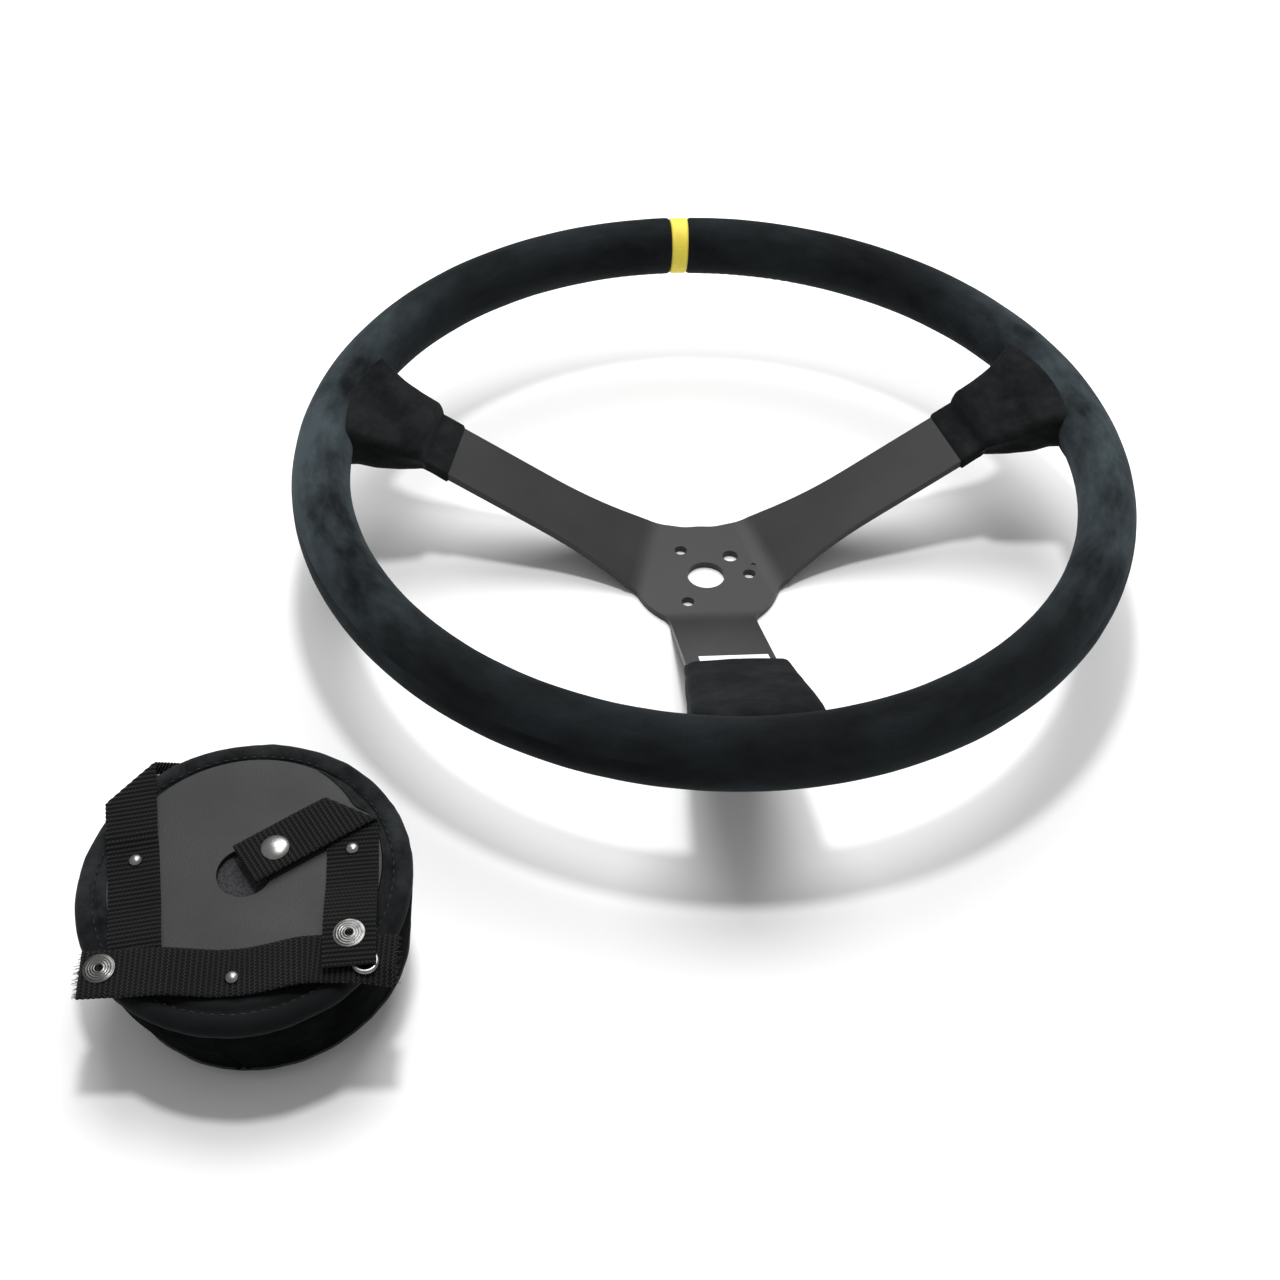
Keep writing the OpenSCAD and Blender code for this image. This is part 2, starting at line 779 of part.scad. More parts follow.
// Plan of the strap's fixed stretch, mitred where it turns
module bottom_plan() {
    mitre = web_half * tan(bottom_turn / 2);
    lift_mitre = web_half * tan(bottom_lift / 2);
    left_end = bottom_hinge * [cos(bottom_lift), -sin(bottom_lift)];
    left_across = web_half * [sin(bottom_lift), cos(bottom_lift)];
    tail = [bottom_turn_at + bottom_tail * cos(bottom_turn), bottom_tail * sin(bottom_turn)];
    across = web_half * [sin(bottom_turn), -cos(bottom_turn)];
    polygon([left_end - left_across, [-lift_mitre, -web_half], [bottom_turn_at + mitre, -web_half],
             tail + across, tail - across, [bottom_turn_at - mitre, web_half], [lift_mitre, web_half],
             left_end + left_across]);
}

module strap_bottom() {
    color(webbing) difference() {
        on_bottom_strap() intersection() {
            translate([0, 0, -5]) linear_extrude(30) bottom_plan();
            strap_run(bottom_line, 80);
        }
        rivet_holes();
        on_bottom_strap() translate(bottom_right_snap) post_hole();
    }
}

module strap_bottom_left() {
    color(webbing) on_bottom_left() difference() {
        strap_run(bottom_left_line);
        translate(bottom_left_snap) post_hole();
    }
}

module left_top_cap() { on_hanging_web() translate([0, left_top_snap_at, 0]) under_web() cap(); }
module left_top_socket() { on_hanging_web() translate([0, left_top_snap_at, 0]) over_web() socket(); }
module left_low_eyelet() { on_left_strap() translate(left_low_snap) over_web() eyelet(); }
module left_low_stud() { on_left_strap() translate(left_low_snap) under_web() stud(); }
module right_flap_cap() { on_flap() translate(flap_snap) over_web() cap(); }
module right_flap_socket() { on_flap() translate(flap_snap) under_web() socket(); }
module right_low_eyelet() { on_right_strap() translate(right_low_snap) over_web() eyelet(); }
module right_low_stud() { on_right_strap() translate(right_low_snap) under_web() stud(); }
module bottom_left_eyelet() { on_bottom_left() translate(bottom_left_snap) over_web() eyelet(); }
module bottom_left_stud() { on_bottom_left() translate(bottom_left_snap) under_web() stud(); }
module bottom_right_socket() { on_bottom_strap() translate(bottom_right_snap) over_web() socket(); }
module bottom_right_cap() { on_bottom_strap() translate(bottom_right_snap) under_web() cap(); }

spoke_frame();
rim_hoop();
rim_welds();
rim_foam();
rim_cover();
marker_band();
rim_stitching();
boot_foam_left();
boot_foam_right();
boot_foam_bottom();
boot_cover_left();
boot_cover_right();
boot_cover_bottom();
spoke_decal();
pad_foam();
pad_face_panel();
pad_side_panel();
pad_binding();
pad_back_plate();
pad_rivets();
rivet_washers();
strap_left();
strap_right();
strap_bottom();
strap_left_top();
strap_right_flap();
strap_right_low();
strap_bottom_left();
left_top_cap();
left_top_socket();
left_low_eyelet();
left_low_stud();
right_flap_cap();
right_flap_socket();
right_low_eyelet();
right_low_stud();
bottom_left_eyelet();
bottom_left_stud();
bottom_right_socket();
bottom_right_cap();
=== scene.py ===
"""Looks for a dished three-spoke steering wheel and its loose round crash pad.

Lengths in this script are millimetres until a point is handed to Blender, which works in metres. The
wheel's axis is +Z, the back face of its hub plate lies on the floor at z = 0, and the marker band is
towards +Y.
"""

import math
import random

import bmesh
import bpy
from mathutils import Matrix, Vector, noise

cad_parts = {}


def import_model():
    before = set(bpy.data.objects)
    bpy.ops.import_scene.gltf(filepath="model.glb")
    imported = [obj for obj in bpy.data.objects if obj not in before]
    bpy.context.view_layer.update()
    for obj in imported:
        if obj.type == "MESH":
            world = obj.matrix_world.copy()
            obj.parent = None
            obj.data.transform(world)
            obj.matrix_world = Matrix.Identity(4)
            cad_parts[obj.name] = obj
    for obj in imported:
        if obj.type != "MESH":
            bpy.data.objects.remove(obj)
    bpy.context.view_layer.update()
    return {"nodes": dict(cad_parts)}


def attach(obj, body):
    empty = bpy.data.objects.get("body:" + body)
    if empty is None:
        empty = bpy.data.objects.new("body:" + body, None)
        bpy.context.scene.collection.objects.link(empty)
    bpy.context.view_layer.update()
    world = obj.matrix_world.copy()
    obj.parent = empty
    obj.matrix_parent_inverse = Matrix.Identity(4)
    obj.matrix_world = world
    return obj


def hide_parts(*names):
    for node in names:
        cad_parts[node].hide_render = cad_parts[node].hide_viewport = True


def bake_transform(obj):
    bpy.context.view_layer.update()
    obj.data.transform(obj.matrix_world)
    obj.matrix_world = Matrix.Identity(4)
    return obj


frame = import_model()
random.seed(7)

MM = 0.001
TURN = 2 * math.pi
# Points nearer than this, in metres, are one point
SAME_POINT = 1e-6


# ---- Mesh helpers ----------------------------------------------------------


def place(points, matrix):
    """Points in millimetres, moved by a matrix in millimetres, as metres."""
    return [(matrix @ Vector(p)) * MM for p in points]


def new_object(name, points, faces, material, uvs=None):
    """A smooth-shaded mesh object from points in metres and faces. uvs has one pair for each corner."""
    mesh = bpy.data.meshes.new(name)
    mesh.from_pydata(points, [], faces)
    if uvs:
        layer = mesh.uv_layers.new(name="UVMap")
        layer.data.foreach_set("uv", [c for uv in uvs for c in uv])
    mesh.validate()
    bm = bmesh.new()
    bm.from_mesh(mesh)
    bmesh.ops.recalc_face_normals(bm, faces=bm.faces)
    bm.to_mesh(mesh)
    bm.free()
    mesh.shade_smooth()
    mesh.materials.append(material)
    obj = bpy.data.objects.new(name, mesh)
    bpy.context.scene.collection.objects.link(obj)
    return obj


def loft(name, rows, material, matrix=Matrix.Identity(4), closed=True, caps=True, uv=None):
    """A skin over rows of points.

    closed joins the ends of each row, and caps closes the first and last rows.
    """
    columns = len(rows[0])
    span = columns if closed else columns - 1
    faces, uvs = [], []
    for i in range(len(rows) - 1):
        for j in range(span):
            k = (j + 1) % columns
            faces.append((i * columns + j, i * columns + k, (i + 1) * columns + k, (i + 1) * columns + j))
            if uv:
                uvs += [uv(i, j), uv(i, j + 1), uv(i + 1, j + 1), uv(i + 1, j)]
    if caps:
        last = (len(rows) - 1) * columns
        for start in (0, last):
            faces.append(tuple(range(start, start + columns)))
            if uv:
                uvs += [uv(start // columns, 0)] * columns
    points = place([p for row in rows for p in row], matrix)
    return new_object(name, points, faces, material, uvs)


def lathe(name, profile, material, matrix=Matrix.Identity(4), steps=48):
    """A closed profile of [radius, height] points turned about z."""
    rows = []
    for i in range(steps + 1):
        a = TURN * i / steps
        rows.append([(r * math.cos(a), r * math.sin(a), z) for r, z in profile])
    obj = loft(name, rows, material, matrix, closed=True, caps=False)
    weld(obj)
    return obj


def weld(obj):
    """Merge the points of a mesh that lie in one place."""
    bm = bmesh.new()
    bm.from_mesh(obj.data)
    bmesh.ops.remove_doubles(bm, verts=bm.verts, dist=SAME_POINT)
    bmesh.ops.recalc_face_normals(bm, faces=bm.faces)
    bm.to_mesh(obj.data)
    bm.free()


def join(name, objects):
    """One object made of several, which keeps the first one's materials."""
    bm = bmesh.new()
    for obj in objects:
        bm.from_mesh(obj.data)
    mesh = objects[0].data.copy()
    bm.to_mesh(mesh)
    bm.free()
    for obj in objects:
        bpy.data.objects.remove(obj)
    joined = bpy.data.objects.new(name, mesh)
    mesh.name = name
    bpy.context.scene.collection.objects.link(joined)
    return joined


def tube(name, path, radius, material, sides):
    """A round cord through points in millimetres, with rounded ends."""
    points = [Vector(p) for p in path]
    rows = []
    normal = Vector((0.3, 0.2, 1)).normalized()
    for i, p in enumerate(points):
        ahead = points[min(i + 1, len(points) - 1)] - points[max(i - 1, 0)]
        ahead.normalize()
        side = ahead.cross(normal).normalized()
        normal = side.cross(ahead).normalized()
        size = radius * (0.55 if i in (0, len(points) - 1) else 1)
        rows.append([p + size * (side * math.cos(TURN * j / sides) + normal * math.sin(TURN * j / sides))
                     for j in range(sides)])
    return loft(name, rows, material)


def wander(point, scale, amount):
    """A smooth, repeatable unevenness at a point."""
    return amount * noise.noise(Vector(point) / scale)


def smoothstep(x, low, high):
    """0 below low and 1 above high, with a smooth rise between."""
    t = min(max((x - low) / (high - low), 0), 1)
    return t * t * (3 - 2 * t)


# ---- Materials -------------------------------------------------------------


class Shader:
    """A short way to write a node tree around one Principled shader."""

    def __init__(self, name, **sockets):
        self.material = bpy.data.materials.new(name)
        self.material.use_nodes = True
        self.tree = self.material.node_tree
        self.surface = self.tree.nodes["Principled BSDF"]
        for key, value in sockets.items():
            self.surface.inputs[key.replace("_", " ")].default_value = value

    def node(self, kind, inputs=None, **settings):
        made = self.tree.nodes.new("ShaderNode" + kind)
        for key, value in settings.items():
            setattr(made, key, value)
        for key, value in (inputs or {}).items():
            if isinstance(value, bpy.types.NodeSocket):
                self.tree.links.new(value, made.inputs[key])
            else:
                made.inputs[key].default_value = value
        return made

    def coordinates(self, kind, scale=(1, 1, 1)):
        source = self.node("TexCoord").outputs[kind]
        return self.node("Mapping", {"Vector": source, "Scale": scale}).outputs["Vector"]

    def noise(self, vector, scale, detail=3.0, roughness=0.55):
        made = self.node("TexNoise", {"Vector": vector, "Scale": scale, "Detail": detail,
                                      "Roughness": roughness})
        return made.outputs["Fac"]

    def ramp(self, value, low, high, start=0.0, end=1.0):
        made = self.node("MapRange", {"Value": value, "From Min": low, "From Max": high, "To Min": start,
                                      "To Max": end})
        return made.outputs["Result"]

    def math(self, operation, a, b=0.0):
        return self.node("Math", {0: a, 1: b}, operation=operation).outputs[0]

    def blend(self, factor, a, b):
        made = self.node("Mix", {"Factor": factor}, data_type="RGBA")
        for socket, value in ((made.inputs[6], a), (made.inputs[7], b)):
            if isinstance(value, bpy.types.NodeSocket):
                self.tree.links.new(value, socket)
            else:
                socket.default_value = (*value, 1)
        return made.outputs[2]

    def color(self, value):
        self.tree.links.new(value, self.surface.inputs["Base Color"])

    def rough(self, value):
        self.tree.links.new(value, self.surface.inputs["Roughness"])

    def bump(self, height, distance, strength):
        made = self.node("Bump", {"Height": height, "Distance": distance, "Strength": strength})
        self.tree.links.new(made.outputs["Normal"], self.surface.inputs["Normal"])


def suede(name, dark, light, patch, coordinates="Object", streak=(1, 1, 1), sheen=0.06, gloss=0.08,
          painted_light_by_distance=None):
    """Suede: patches where the nap lies one way or the other, fine fibres, and a soft sheen.

    The last argument is (axis, near, far, at near, at far): how much paler or darker the nap is painted by
    distance from the scene's middle plane, as painted sheen and painted shade where the light falls.
    """
    s = Shader(name, Roughness=0.92, Specular_IOR_Level=gloss, Sheen_Weight=sheen, Sheen_Roughness=0.45,
               Sheen_Tint=(0.55, 0.68, 0.78, 1))
    at = s.coordinates(coordinates, streak)
    patches = s.ramp(s.noise(at, patch, 4, 0.6), 0.4, 0.66)
    cloudy = s.ramp(s.noise(at, patch * 3.5, 3), 0.35, 0.7)
    fibres = s.noise(s.coordinates(coordinates), 1500, 2)
    amount = s.math("ADD", s.math("MULTIPLY", patches, 0.75), s.math("MULTIPLY", cloudy, 0.3))
    amount = s.math("MULTIPLY", amount, s.ramp(fibres, 0.2, 0.8, 0.55, 1.35))
    # Painted light: the nap is painted paler or darker by distance from the middle plane, as painted sheen
    # and painted shade
    if painted_light_by_distance:
        axis, *reach = painted_light_by_distance
        away = s.math("ABSOLUTE", s.node("SeparateXYZ", {0: s.coordinates("Object")}).outputs[axis])
        amount = s.math("MULTIPLY", amount, s.ramp(away, *reach))
    s.color(s.blend(amount, dark, light))
    grain = s.math("ADD", fibres, s.math("MULTIPLY", s.noise(at, 260, 3), 0.8))
    s.bump(grain, 0.0004, 0.55)
    return s.material


def webbing():
    """Ribbed nylon webbing: the ribs are in the mesh, and the yarns in each rib are here."""
    s = Shader("webbing_nylon", Roughness=0.55, Specular_IOR_Level=0.12, Sheen_Weight=0.04,
               Sheen_Roughness=0.4)
    along, across, _ = s.node("SeparateXYZ", {0: s.coordinates("UV")}).outputs
    rib = s.math("MULTIPLY", along, TURN / (RIB * MM))
    crest = s.ramp(s.math("COSINE", rib), -1, 1)
    odd = s.math("MULTIPLY", s.math("FLOOR", s.math("DIVIDE", along, RIB * MM)), math.pi)
    yarn = s.math("COSINE", s.math("ADD", s.math("MULTIPLY", across, TURN / (YARN * MM)), odd))
    weave = s.math("MULTIPLY", crest, s.ramp(yarn, -0.7, 0.7, 0.05, 1.3))
    fibre = s.noise(s.coordinates("UV", (3000, 900, 1)), 1, 2)
    worn = s.noise(s.coordinates("UV"), 60, 2)
    # Painted shade in the grooves between ribs and yarns, and a painted highlight on the rib crests
    light = s.math("MULTIPLY", s.math("MULTIPLY", weave, s.ramp(fibre, 0.2, 0.8, 0.6, 1.3)),
                   s.ramp(worn, 0.3, 0.7, 0.7, 1.15))
    s.color(s.blend(light, (0.002, 0.002, 0.0024), (0.018, 0.018, 0.0192)))
    s.rough(s.ramp(weave, 0, 1, 0.8, 0.5))
    s.bump(s.math("ADD", weave, s.math("MULTIPLY", fibre, 0.2)), 0.0004, 0.9)
    return s.material


def painted_metal():
    """Satin dark grey powder coat with a fine orange peel and faint handling marks."""
    s = Shader("frame_powder_coat", Specular_IOR_Level=0.25)
    at = s.coordinates("Object")
    cloudy = s.noise(at, 22, 3)
    scuffs = s.ramp(s.noise(s.coordinates("Object", (60, 900, 200)), 1, 4, 0.7), 0.62, 0.8)
    s.color(s.blend(s.ramp(cloudy, 0.3, 0.7), (0.018, 0.018, 0.0185), (0.024, 0.024, 0.0245)))
    s.rough(s.math("ADD", s.ramp(cloudy, 0.3, 0.7, 0.42, 0.5), s.math("MULTIPLY", scuffs, 0.06)))
    s.bump(s.noise(at, 1400, 2), 0.0001, 0.35)
    return s.material


def moulded_sheet():
    """Dark grey plastic sheet with a fine grain and dusty patches."""
    s = Shader("plate_sheet", Specular_IOR_Level=0.28)
    at = s.coordinates("Object")
    dust = s.ramp(s.noise(at, 30, 4), 0.4, 0.75)
    specks = s.ramp(s.noise(at, 900, 2), 0.62, 0.72)
    amount = s.math("ADD", s.math("MULTIPLY", dust, 0.5), s.math("MULTIPLY", specks, 0.4))
    s.color(s.blend(amount, (0.014, 0.0143, 0.015), (0.023, 0.0235, 0.0245)))
    s.rough(s.ramp(dust, 0, 1, 0.5, 0.66))
    s.bump(s.noise(at, 1100, 3), 0.00015, 0.4)
    return s.material


def plated(name, bright, dull):
    """Plating with fine scratches and a duller film in places."""
    s = Shader(name, Metallic=1.0)
    at = s.coordinates("Object")
    film = s.ramp(s.noise(at, 350, 3), 0.35, 0.7)
    scratches = s.noise(s.coordinates("Object", (300, 5000, 900)), 1, 3, 0.7)
    s.color(s.blend(film, bright, dull))
    s.rough(s.math("ADD", s.ramp(film, 0, 1, 0.2, 0.36), s.ramp(scratches, 0.3, 0.8, 0, 0.1)))
    s.bump(scratches, 0.00003, 0.3)
    return s.material


def marker_leather():
    """Pale yellow leather, slightly grubby, with a fine grain."""
    s = Shader("marker_leather", Roughness=0.62, Specular_IOR_Level=0.25)
    at = s.coordinates("Object")
    grime = s.ramp(s.noise(at, 90, 4, 0.65), 0.45, 0.8)
    s.color(s.blend(grime, (0.80, 0.66, 0.08), (0.62, 0.50, 0.07)))
    s.bump(s.node("TexVoronoi", {"Vector": at, "Scale": 1100}).outputs["Distance"], 0.0002, 0.3)
    return s.material


def thread():
    """Black twisted sewing thread."""
    s = Shader("sewing_thread", Roughness=0.6, Specular_IOR_Level=0.3)
    twist = s.noise(s.coordinates("Object", (900, 900, 900)), 1, 2)
    s.color(s.blend(twist, (0.005, 0.005, 0.0055), (0.022, 0.022, 0.0235)))
    s.bump(twist, 0.0001, 0.5)
    return s.material


def face_fabric():
    """Black padded cloth with a fine square weave."""
    s = Shader("face_cloth", Roughness=0.85, Specular_IOR_Level=0.2, Sheen_Weight=0.1)
    x, y, _ = s.node("SeparateXYZ", {0: s.coordinates("Object")}).outputs
    warp = s.math("SINE", s.math("MULTIPLY", x, TURN / 0.0011))
    weft = s.math("SINE", s.math("MULTIPLY", y, TURN / 0.0011))
    weave = s.ramp(s.math("MULTIPLY", warp, weft), -1, 1)
    cloudy = s.noise(s.coordinates("Object"), 35, 3)
    s.color(s.blend(s.math("MULTIPLY", weave, cloudy), (0.006, 0.006, 0.007), (0.04, 0.042, 0.044)))
    s.bump(weave, 0.0002, 0.6)
    return s.material


def foam():
    """Closed-cell foam with small open cells at its cut face."""
    s = Shader("pad_core_foam", Roughness=0.95, Specular_IOR_Level=0.1)
    at = s.coordinates("Object")
    cells = s.node("TexVoronoi", {"Vector": at, "Scale": 900}).outputs["Distance"]
    s.color(s.blend(s.ramp(cells, 0, 0.6), (0.012, 0.012, 0.013), (0.04, 0.04, 0.043)))
    s.bump(cells, 0.0004, 0.7)
    return s.material


def white_film():
    """White vinyl film, slightly worn."""
    s = Shader("decal_white", Roughness=0.5)
    wear = s.ramp(s.noise(s.coordinates("Object"), 500, 4, 0.7), 0.5, 0.75)
    s.color(s.blend(wear, (0.86, 0.86, 0.86), (0.62, 0.62, 0.62)))
    return s.material


def bare_steel():
    """Bare bent rod with a dull, uneven skin."""
    s = Shader("hoop_bare_steel", Metallic=1.0, Roughness=0.4)
    s.color(s.blend(s.noise(s.coordinates("Object"), 60, 3), (0.40, 0.40, 0.42), (0.28, 0.27, 0.26)))
    return s.material


# Pitch of the webbing's ribs along a strap and of its yarns across it, and the mesh's steps for each rib
RIB, YARN = 2.1, 1.5
STEPS_PER_RIB = 6

# The rim's nap is painted paler at its left and right and darker at its top and bottom: painted sheen and
# painted shade
RIM_SUEDE = suede("rim_suede", (0.0035, 0.004, 0.0042), (0.040, 0.052, 0.058), 26, "UV", (0.55, 1.1, 1),
                  painted_light_by_distance=("X", 0.13, 0.205, 0.25, 1.6))
BOOT_SUEDE = suede("boot_suede", (0.0028, 0.003, 0.0032), (0.0125, 0.0138, 0.0142), 40, streak=(1, 1, 2.2),
                   sheen=0.03)
PIPING_SUEDE = suede("piping_suede", (0.010, 0.012, 0.013), (0.045, 0.056, 0.060), 60)
# The pad's side panel is painted near black, far darker than the binding, with its sheen and gloss nearly
# taken away: partly its own black, partly painted shade
PAD_SUEDE_PAINTED_SHADE = suede("pad_suede_painted_shade", (0.0008, 0.0009, 0.001), (0.0042, 0.0046, 0.0048), 45, sheen=0.005, gloss=0.01)
# The binding's nap is painted darker towards the pad's near side: painted shade
BINDING_SUEDE = suede("binding_suede", (0.004, 0.0043, 0.0045), (0.021, 0.0235, 0.0245), 45,
                      painted_light_by_distance=("Y", 0.245, 0.29, 1.1, 0.1))
WEBBING = webbing()
FRAME_PAINT = painted_metal()
PLATE = moulded_sheet()
NICKEL = plated("snap_plating", (0.30, 0.297, 0.29), (0.16, 0.16, 0.158))
GUNMETAL = plated("eyelet_plating", (0.115, 0.114, 0.111), (0.045, 0.045, 0.044))
MARKER = marker_leather()
THREAD = thread()
FACE = face_fabric()
FOAM = foam()
DECAL = white_film()
STEEL = bare_steel()


# ---- The wheel's frame -----------------------------------------------------


def bevelled(node, name, material, width):
    """A copy of a CAD node with its sharp edges rounded, which stands for it."""
    mesh = frame["nodes"][node].data.copy()
    bm = bmesh.new()
    bm.from_mesh(mesh)
    bmesh.ops.remove_doubles(bm, verts=bm.verts, dist=SAME_POINT)
    bmesh.ops.dissolve_limit(bm, angle_limit=math.radians(0.5), verts=bm.verts, edges=bm.edges)
    bm.to_mesh(mesh)
    bm.free()
    mesh.materials.clear()
    mesh.materials.append(material)
    obj = bpy.data.objects.new(name, mesh)
    bpy.context.scene.collection.objects.link(obj)
    bevel = obj.modifiers.new("edges", "BEVEL")
    bevel.width = width * MM
    bevel.segments = 3
    bevel.limit_method = "ANGLE"
    bevel.angle_limit = math.radians(40)
    bevel.harden_normals = True
    mesh.shade_smooth()
    mesh.set_sharp_from_angle(angle=math.radians(30))
    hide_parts(node)
    return obj


frame_piece = bevelled("spoke_frame", "spoke_frame_painted", FRAME_PAINT, 0.45)
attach(frame_piece, "wheel")

decal = bevelled("spoke_decal", "spoke_bar_film", DECAL, 0.06)
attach(decal, "wheel")

for node in ("rim_hoop", "rim_welds"):
    frame["nodes"][node].data.materials[0] = STEEL
frame["nodes"]["rim_foam"].data.materials[0] = FOAM


# ---- The rim's grip --------------------------------------------------------

# The middle of the grip's section, its width, depth and lean, and where round it the cover is sewn shut
RIM_R, RIM_Z = 189.2, 75.7
GRIP_W, GRIP_D, LEAN = 27.4, 33.4, math.radians(15.8)
SEAM_T = 241.7
# The marker band: its angle round the wheel, its width, half of that as an angle, and the gap beside it
BAND_AT, BAND_W = 90, 9.4
BAND_HALF = math.degrees(BAND_W / 2 / RIM_R)
BAND_GAP = 0.06


def grip_point(angle, t, out=0.0):
    """A point on the grip's skin: angle round the wheel, t round its section, out above the skin."""
    a, t = math.radians(angle), math.radians(t)
    p = (GRIP_W / 2 + out) * math.cos(t)
    q = (GRIP_D / 2 + out) * math.sin(t)
    r = RIM_R + p * math.cos(LEAN) - q * math.sin(LEAN)
    return Vector((r * math.cos(a), r * math.sin(a), RIM_Z + p * math.sin(LEAN) + q * math.cos(LEAN)))


SECTION = [360 * i / 72 for i in range(72)]
SECTION = sorted(SECTION + [SEAM_T - 3, SEAM_T - 1, SEAM_T + 1, SEAM_T + 3])
GIRTH = math.pi * (GRIP_W + GRIP_D) / 2


def grip_uv(angles):
    """Lengths round the wheel and round the section, in metres, for the rows of a stretch of grip."""
    return lambda i, j: (math.radians(angles[i]) * RIM_R * MM,
                         (SECTION[j % len(SECTION)] + 360 * (j // len(SECTION))) / 360 * GIRTH * MM)


def seam_dip(t):
    """How far the skin rises beside the closing seam and dips into it."""
    d = abs(t - SEAM_T)
    return 0.25 * math.exp(-((d - 5) / 2.5) ** 2) - 0.7 * math.exp(-(d / 1.6) ** 2)


def grip_rows(angles, out):
    """Rows of points on the grip's skin, one for each angle, with the unevenness of hand-sewn suede."""
    rows = []
    for i, angle in enumerate(angles):
        row = []
        for t in SECTION:
            at = grip_point(angle, t)
            uneven = out[i] + seam_dip(t) + wander(at, 22, 0.16) + wander(at, 7, 0.05)
            row.append(grip_point(angle, t, uneven))
        rows.append(row)
    return rows


def tucked(first, last, count, depth):
    """Angles along a stretch of skin and how far out each lies, with both ends rolled under."""
    edge = [(0, -depth), (0.12, -depth * 0.45), (0.3, -depth * 0.12), (0.6, 0)]
    angles = [first + a for a, _ in edge]
    angles += [first + 1 + (last - first - 2) * i / count for i in range(count + 1)]
    angles += [last - a for a, _ in reversed(edge)]
    out = [o for _, o in edge] + [0] * (count + 1) + [o for _, o in reversed(edge)]
    return angles, out


angles, out = tucked(BAND_AT + BAND_HALF + BAND_GAP, BAND_AT + 360 - BAND_HALF - BAND_GAP, 540, 1.0)
rim = loft("rim_suede_cover", grip_rows(angles, out), RIM_SUEDE, uv=grip_uv(angles))
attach(rim, "wheel")
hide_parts("rim_cover")

band_angles = [BAND_AT - BAND_HALF + 2 * BAND_HALF * i / 12 for i in range(13)]
band_out = [-0.9, -0.35] + [-0.15] * 9 + [-0.35, -0.9]
band = loft("top_marker_leather", grip_rows(band_angles, band_out), MARKER, uv=grip_uv(band_angles))
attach(band, "wheel")
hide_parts("marker_band")


def rim_stitches():
    """Crossed stitches that close the cover along the back of the rim."""
    pieces = []
    step, reach = 1.5, 7
    count = int((360 - 2 * BAND_HALF - 2) / step)
    for i in range(count):
        angle = BAND_AT + BAND_HALF + 1 + i * step
        for a, b in ((SEAM_T - reach, SEAM_T + reach), (SEAM_T + reach, SEAM_T - reach)):
            ends = grip_point(angle, a, 0.1), grip_point(angle + 0.75, b, 0.1)
            middle = grip_point(angle + 0.37, SEAM_T, 0.45)
            pieces.append(tube("stitch", [ends[0], middle, ends[1]], 0.32, THREAD, 5))
    return join("rim_closing_stitches", pieces)


stitches = rim_stitches()
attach(stitches, "wheel")
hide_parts("rim_stitching")


# ---- Spoke boots -----------------------------------------------------------

# u is the distance along a spoke, from the point of its middle line that is nearest to the wheel's axis.
# From BEND_U the spoke rises at RISE until it reaches the rim's height. PLATE_HALF is half of its
# thickness on the slope, measured along z.
RISE = math.radians(28)
SIDE_ANGLE, SIDE_OFFSET = 14.3, 8.5
BEND_U, BEND_Z = 38.5, 4.68
PLATE_HALF = 1.98

# How far a boot's padding stands in front of the spoke and behind it, and the greatest height of its front
BOOT_RISE, BOOT_DROP = 11.2, 7.8
CREST = RIM_Z + 13.2
# Length of the collar, and of the rounded step from it to the padding
COLLAR, STEP = 11, 2.6
# Where the padding begins on a side spoke and on the bottom one, and half of each spoke's width
SIDE_START, BOTTOM_START = 141.6, 111
SIDE_HALF, BOTTOM_HALF = 18.4, 21.5
# Where a boot meets the rim, and where it ends inside the rim's grip
MEET_U, BOOT_END = 168, 187
# The bend in a boot's back near the rim: its place, its height, and the slope beyond it
BACK_U, BACK_Z, BACK_SLOPE = 170, 57, 0.25


def spoke_z(u):
    """Height of a spoke's middle line."""
    return min(BEND_Z + (u - BEND_U) * math.tan(RISE), RIM_Z)


def side_spoke(mirrored):
    """The frame of a side spoke: x outwards, y across, z up."""
    matrix = Matrix.Rotation(math.radians(SIDE_ANGLE), 4, "Z") @ Matrix.Translation((0, SIDE_OFFSET, 0))
    return Matrix.Diagonal((-1, 1, 1, 1)) @ matrix if mirrored else matrix


BOTTOM_SPOKE = Matrix.Rotation(math.radians(-90), 4, "Z")


def soft_min(a, b, width):
    """The smaller of two values, with the change from one to the other rounded over a width."""
    h = max(width - abs(a - b), 0) / width
    return min(a, b) - h * h * width / 4


# Angles of a quarter turn, and shares of the way across, at which a boot's section has its points
QUARTER = [math.pi / 2 * i / 6 for i in range(7)]
ACROSS = [i / 12 for i in range(1, 12)]


def boot_back(u, start):
    """Height of a boot's back, which runs from behind the spoke to the back of the rim."""
    first = spoke_z(start) - BOOT_DROP
    if u < BACK_U:
        return first + (BACK_Z - first) * (u - start) / (BACK_U - start)
    return BACK_Z + (u - BACK_U) * BACK_SLOPE


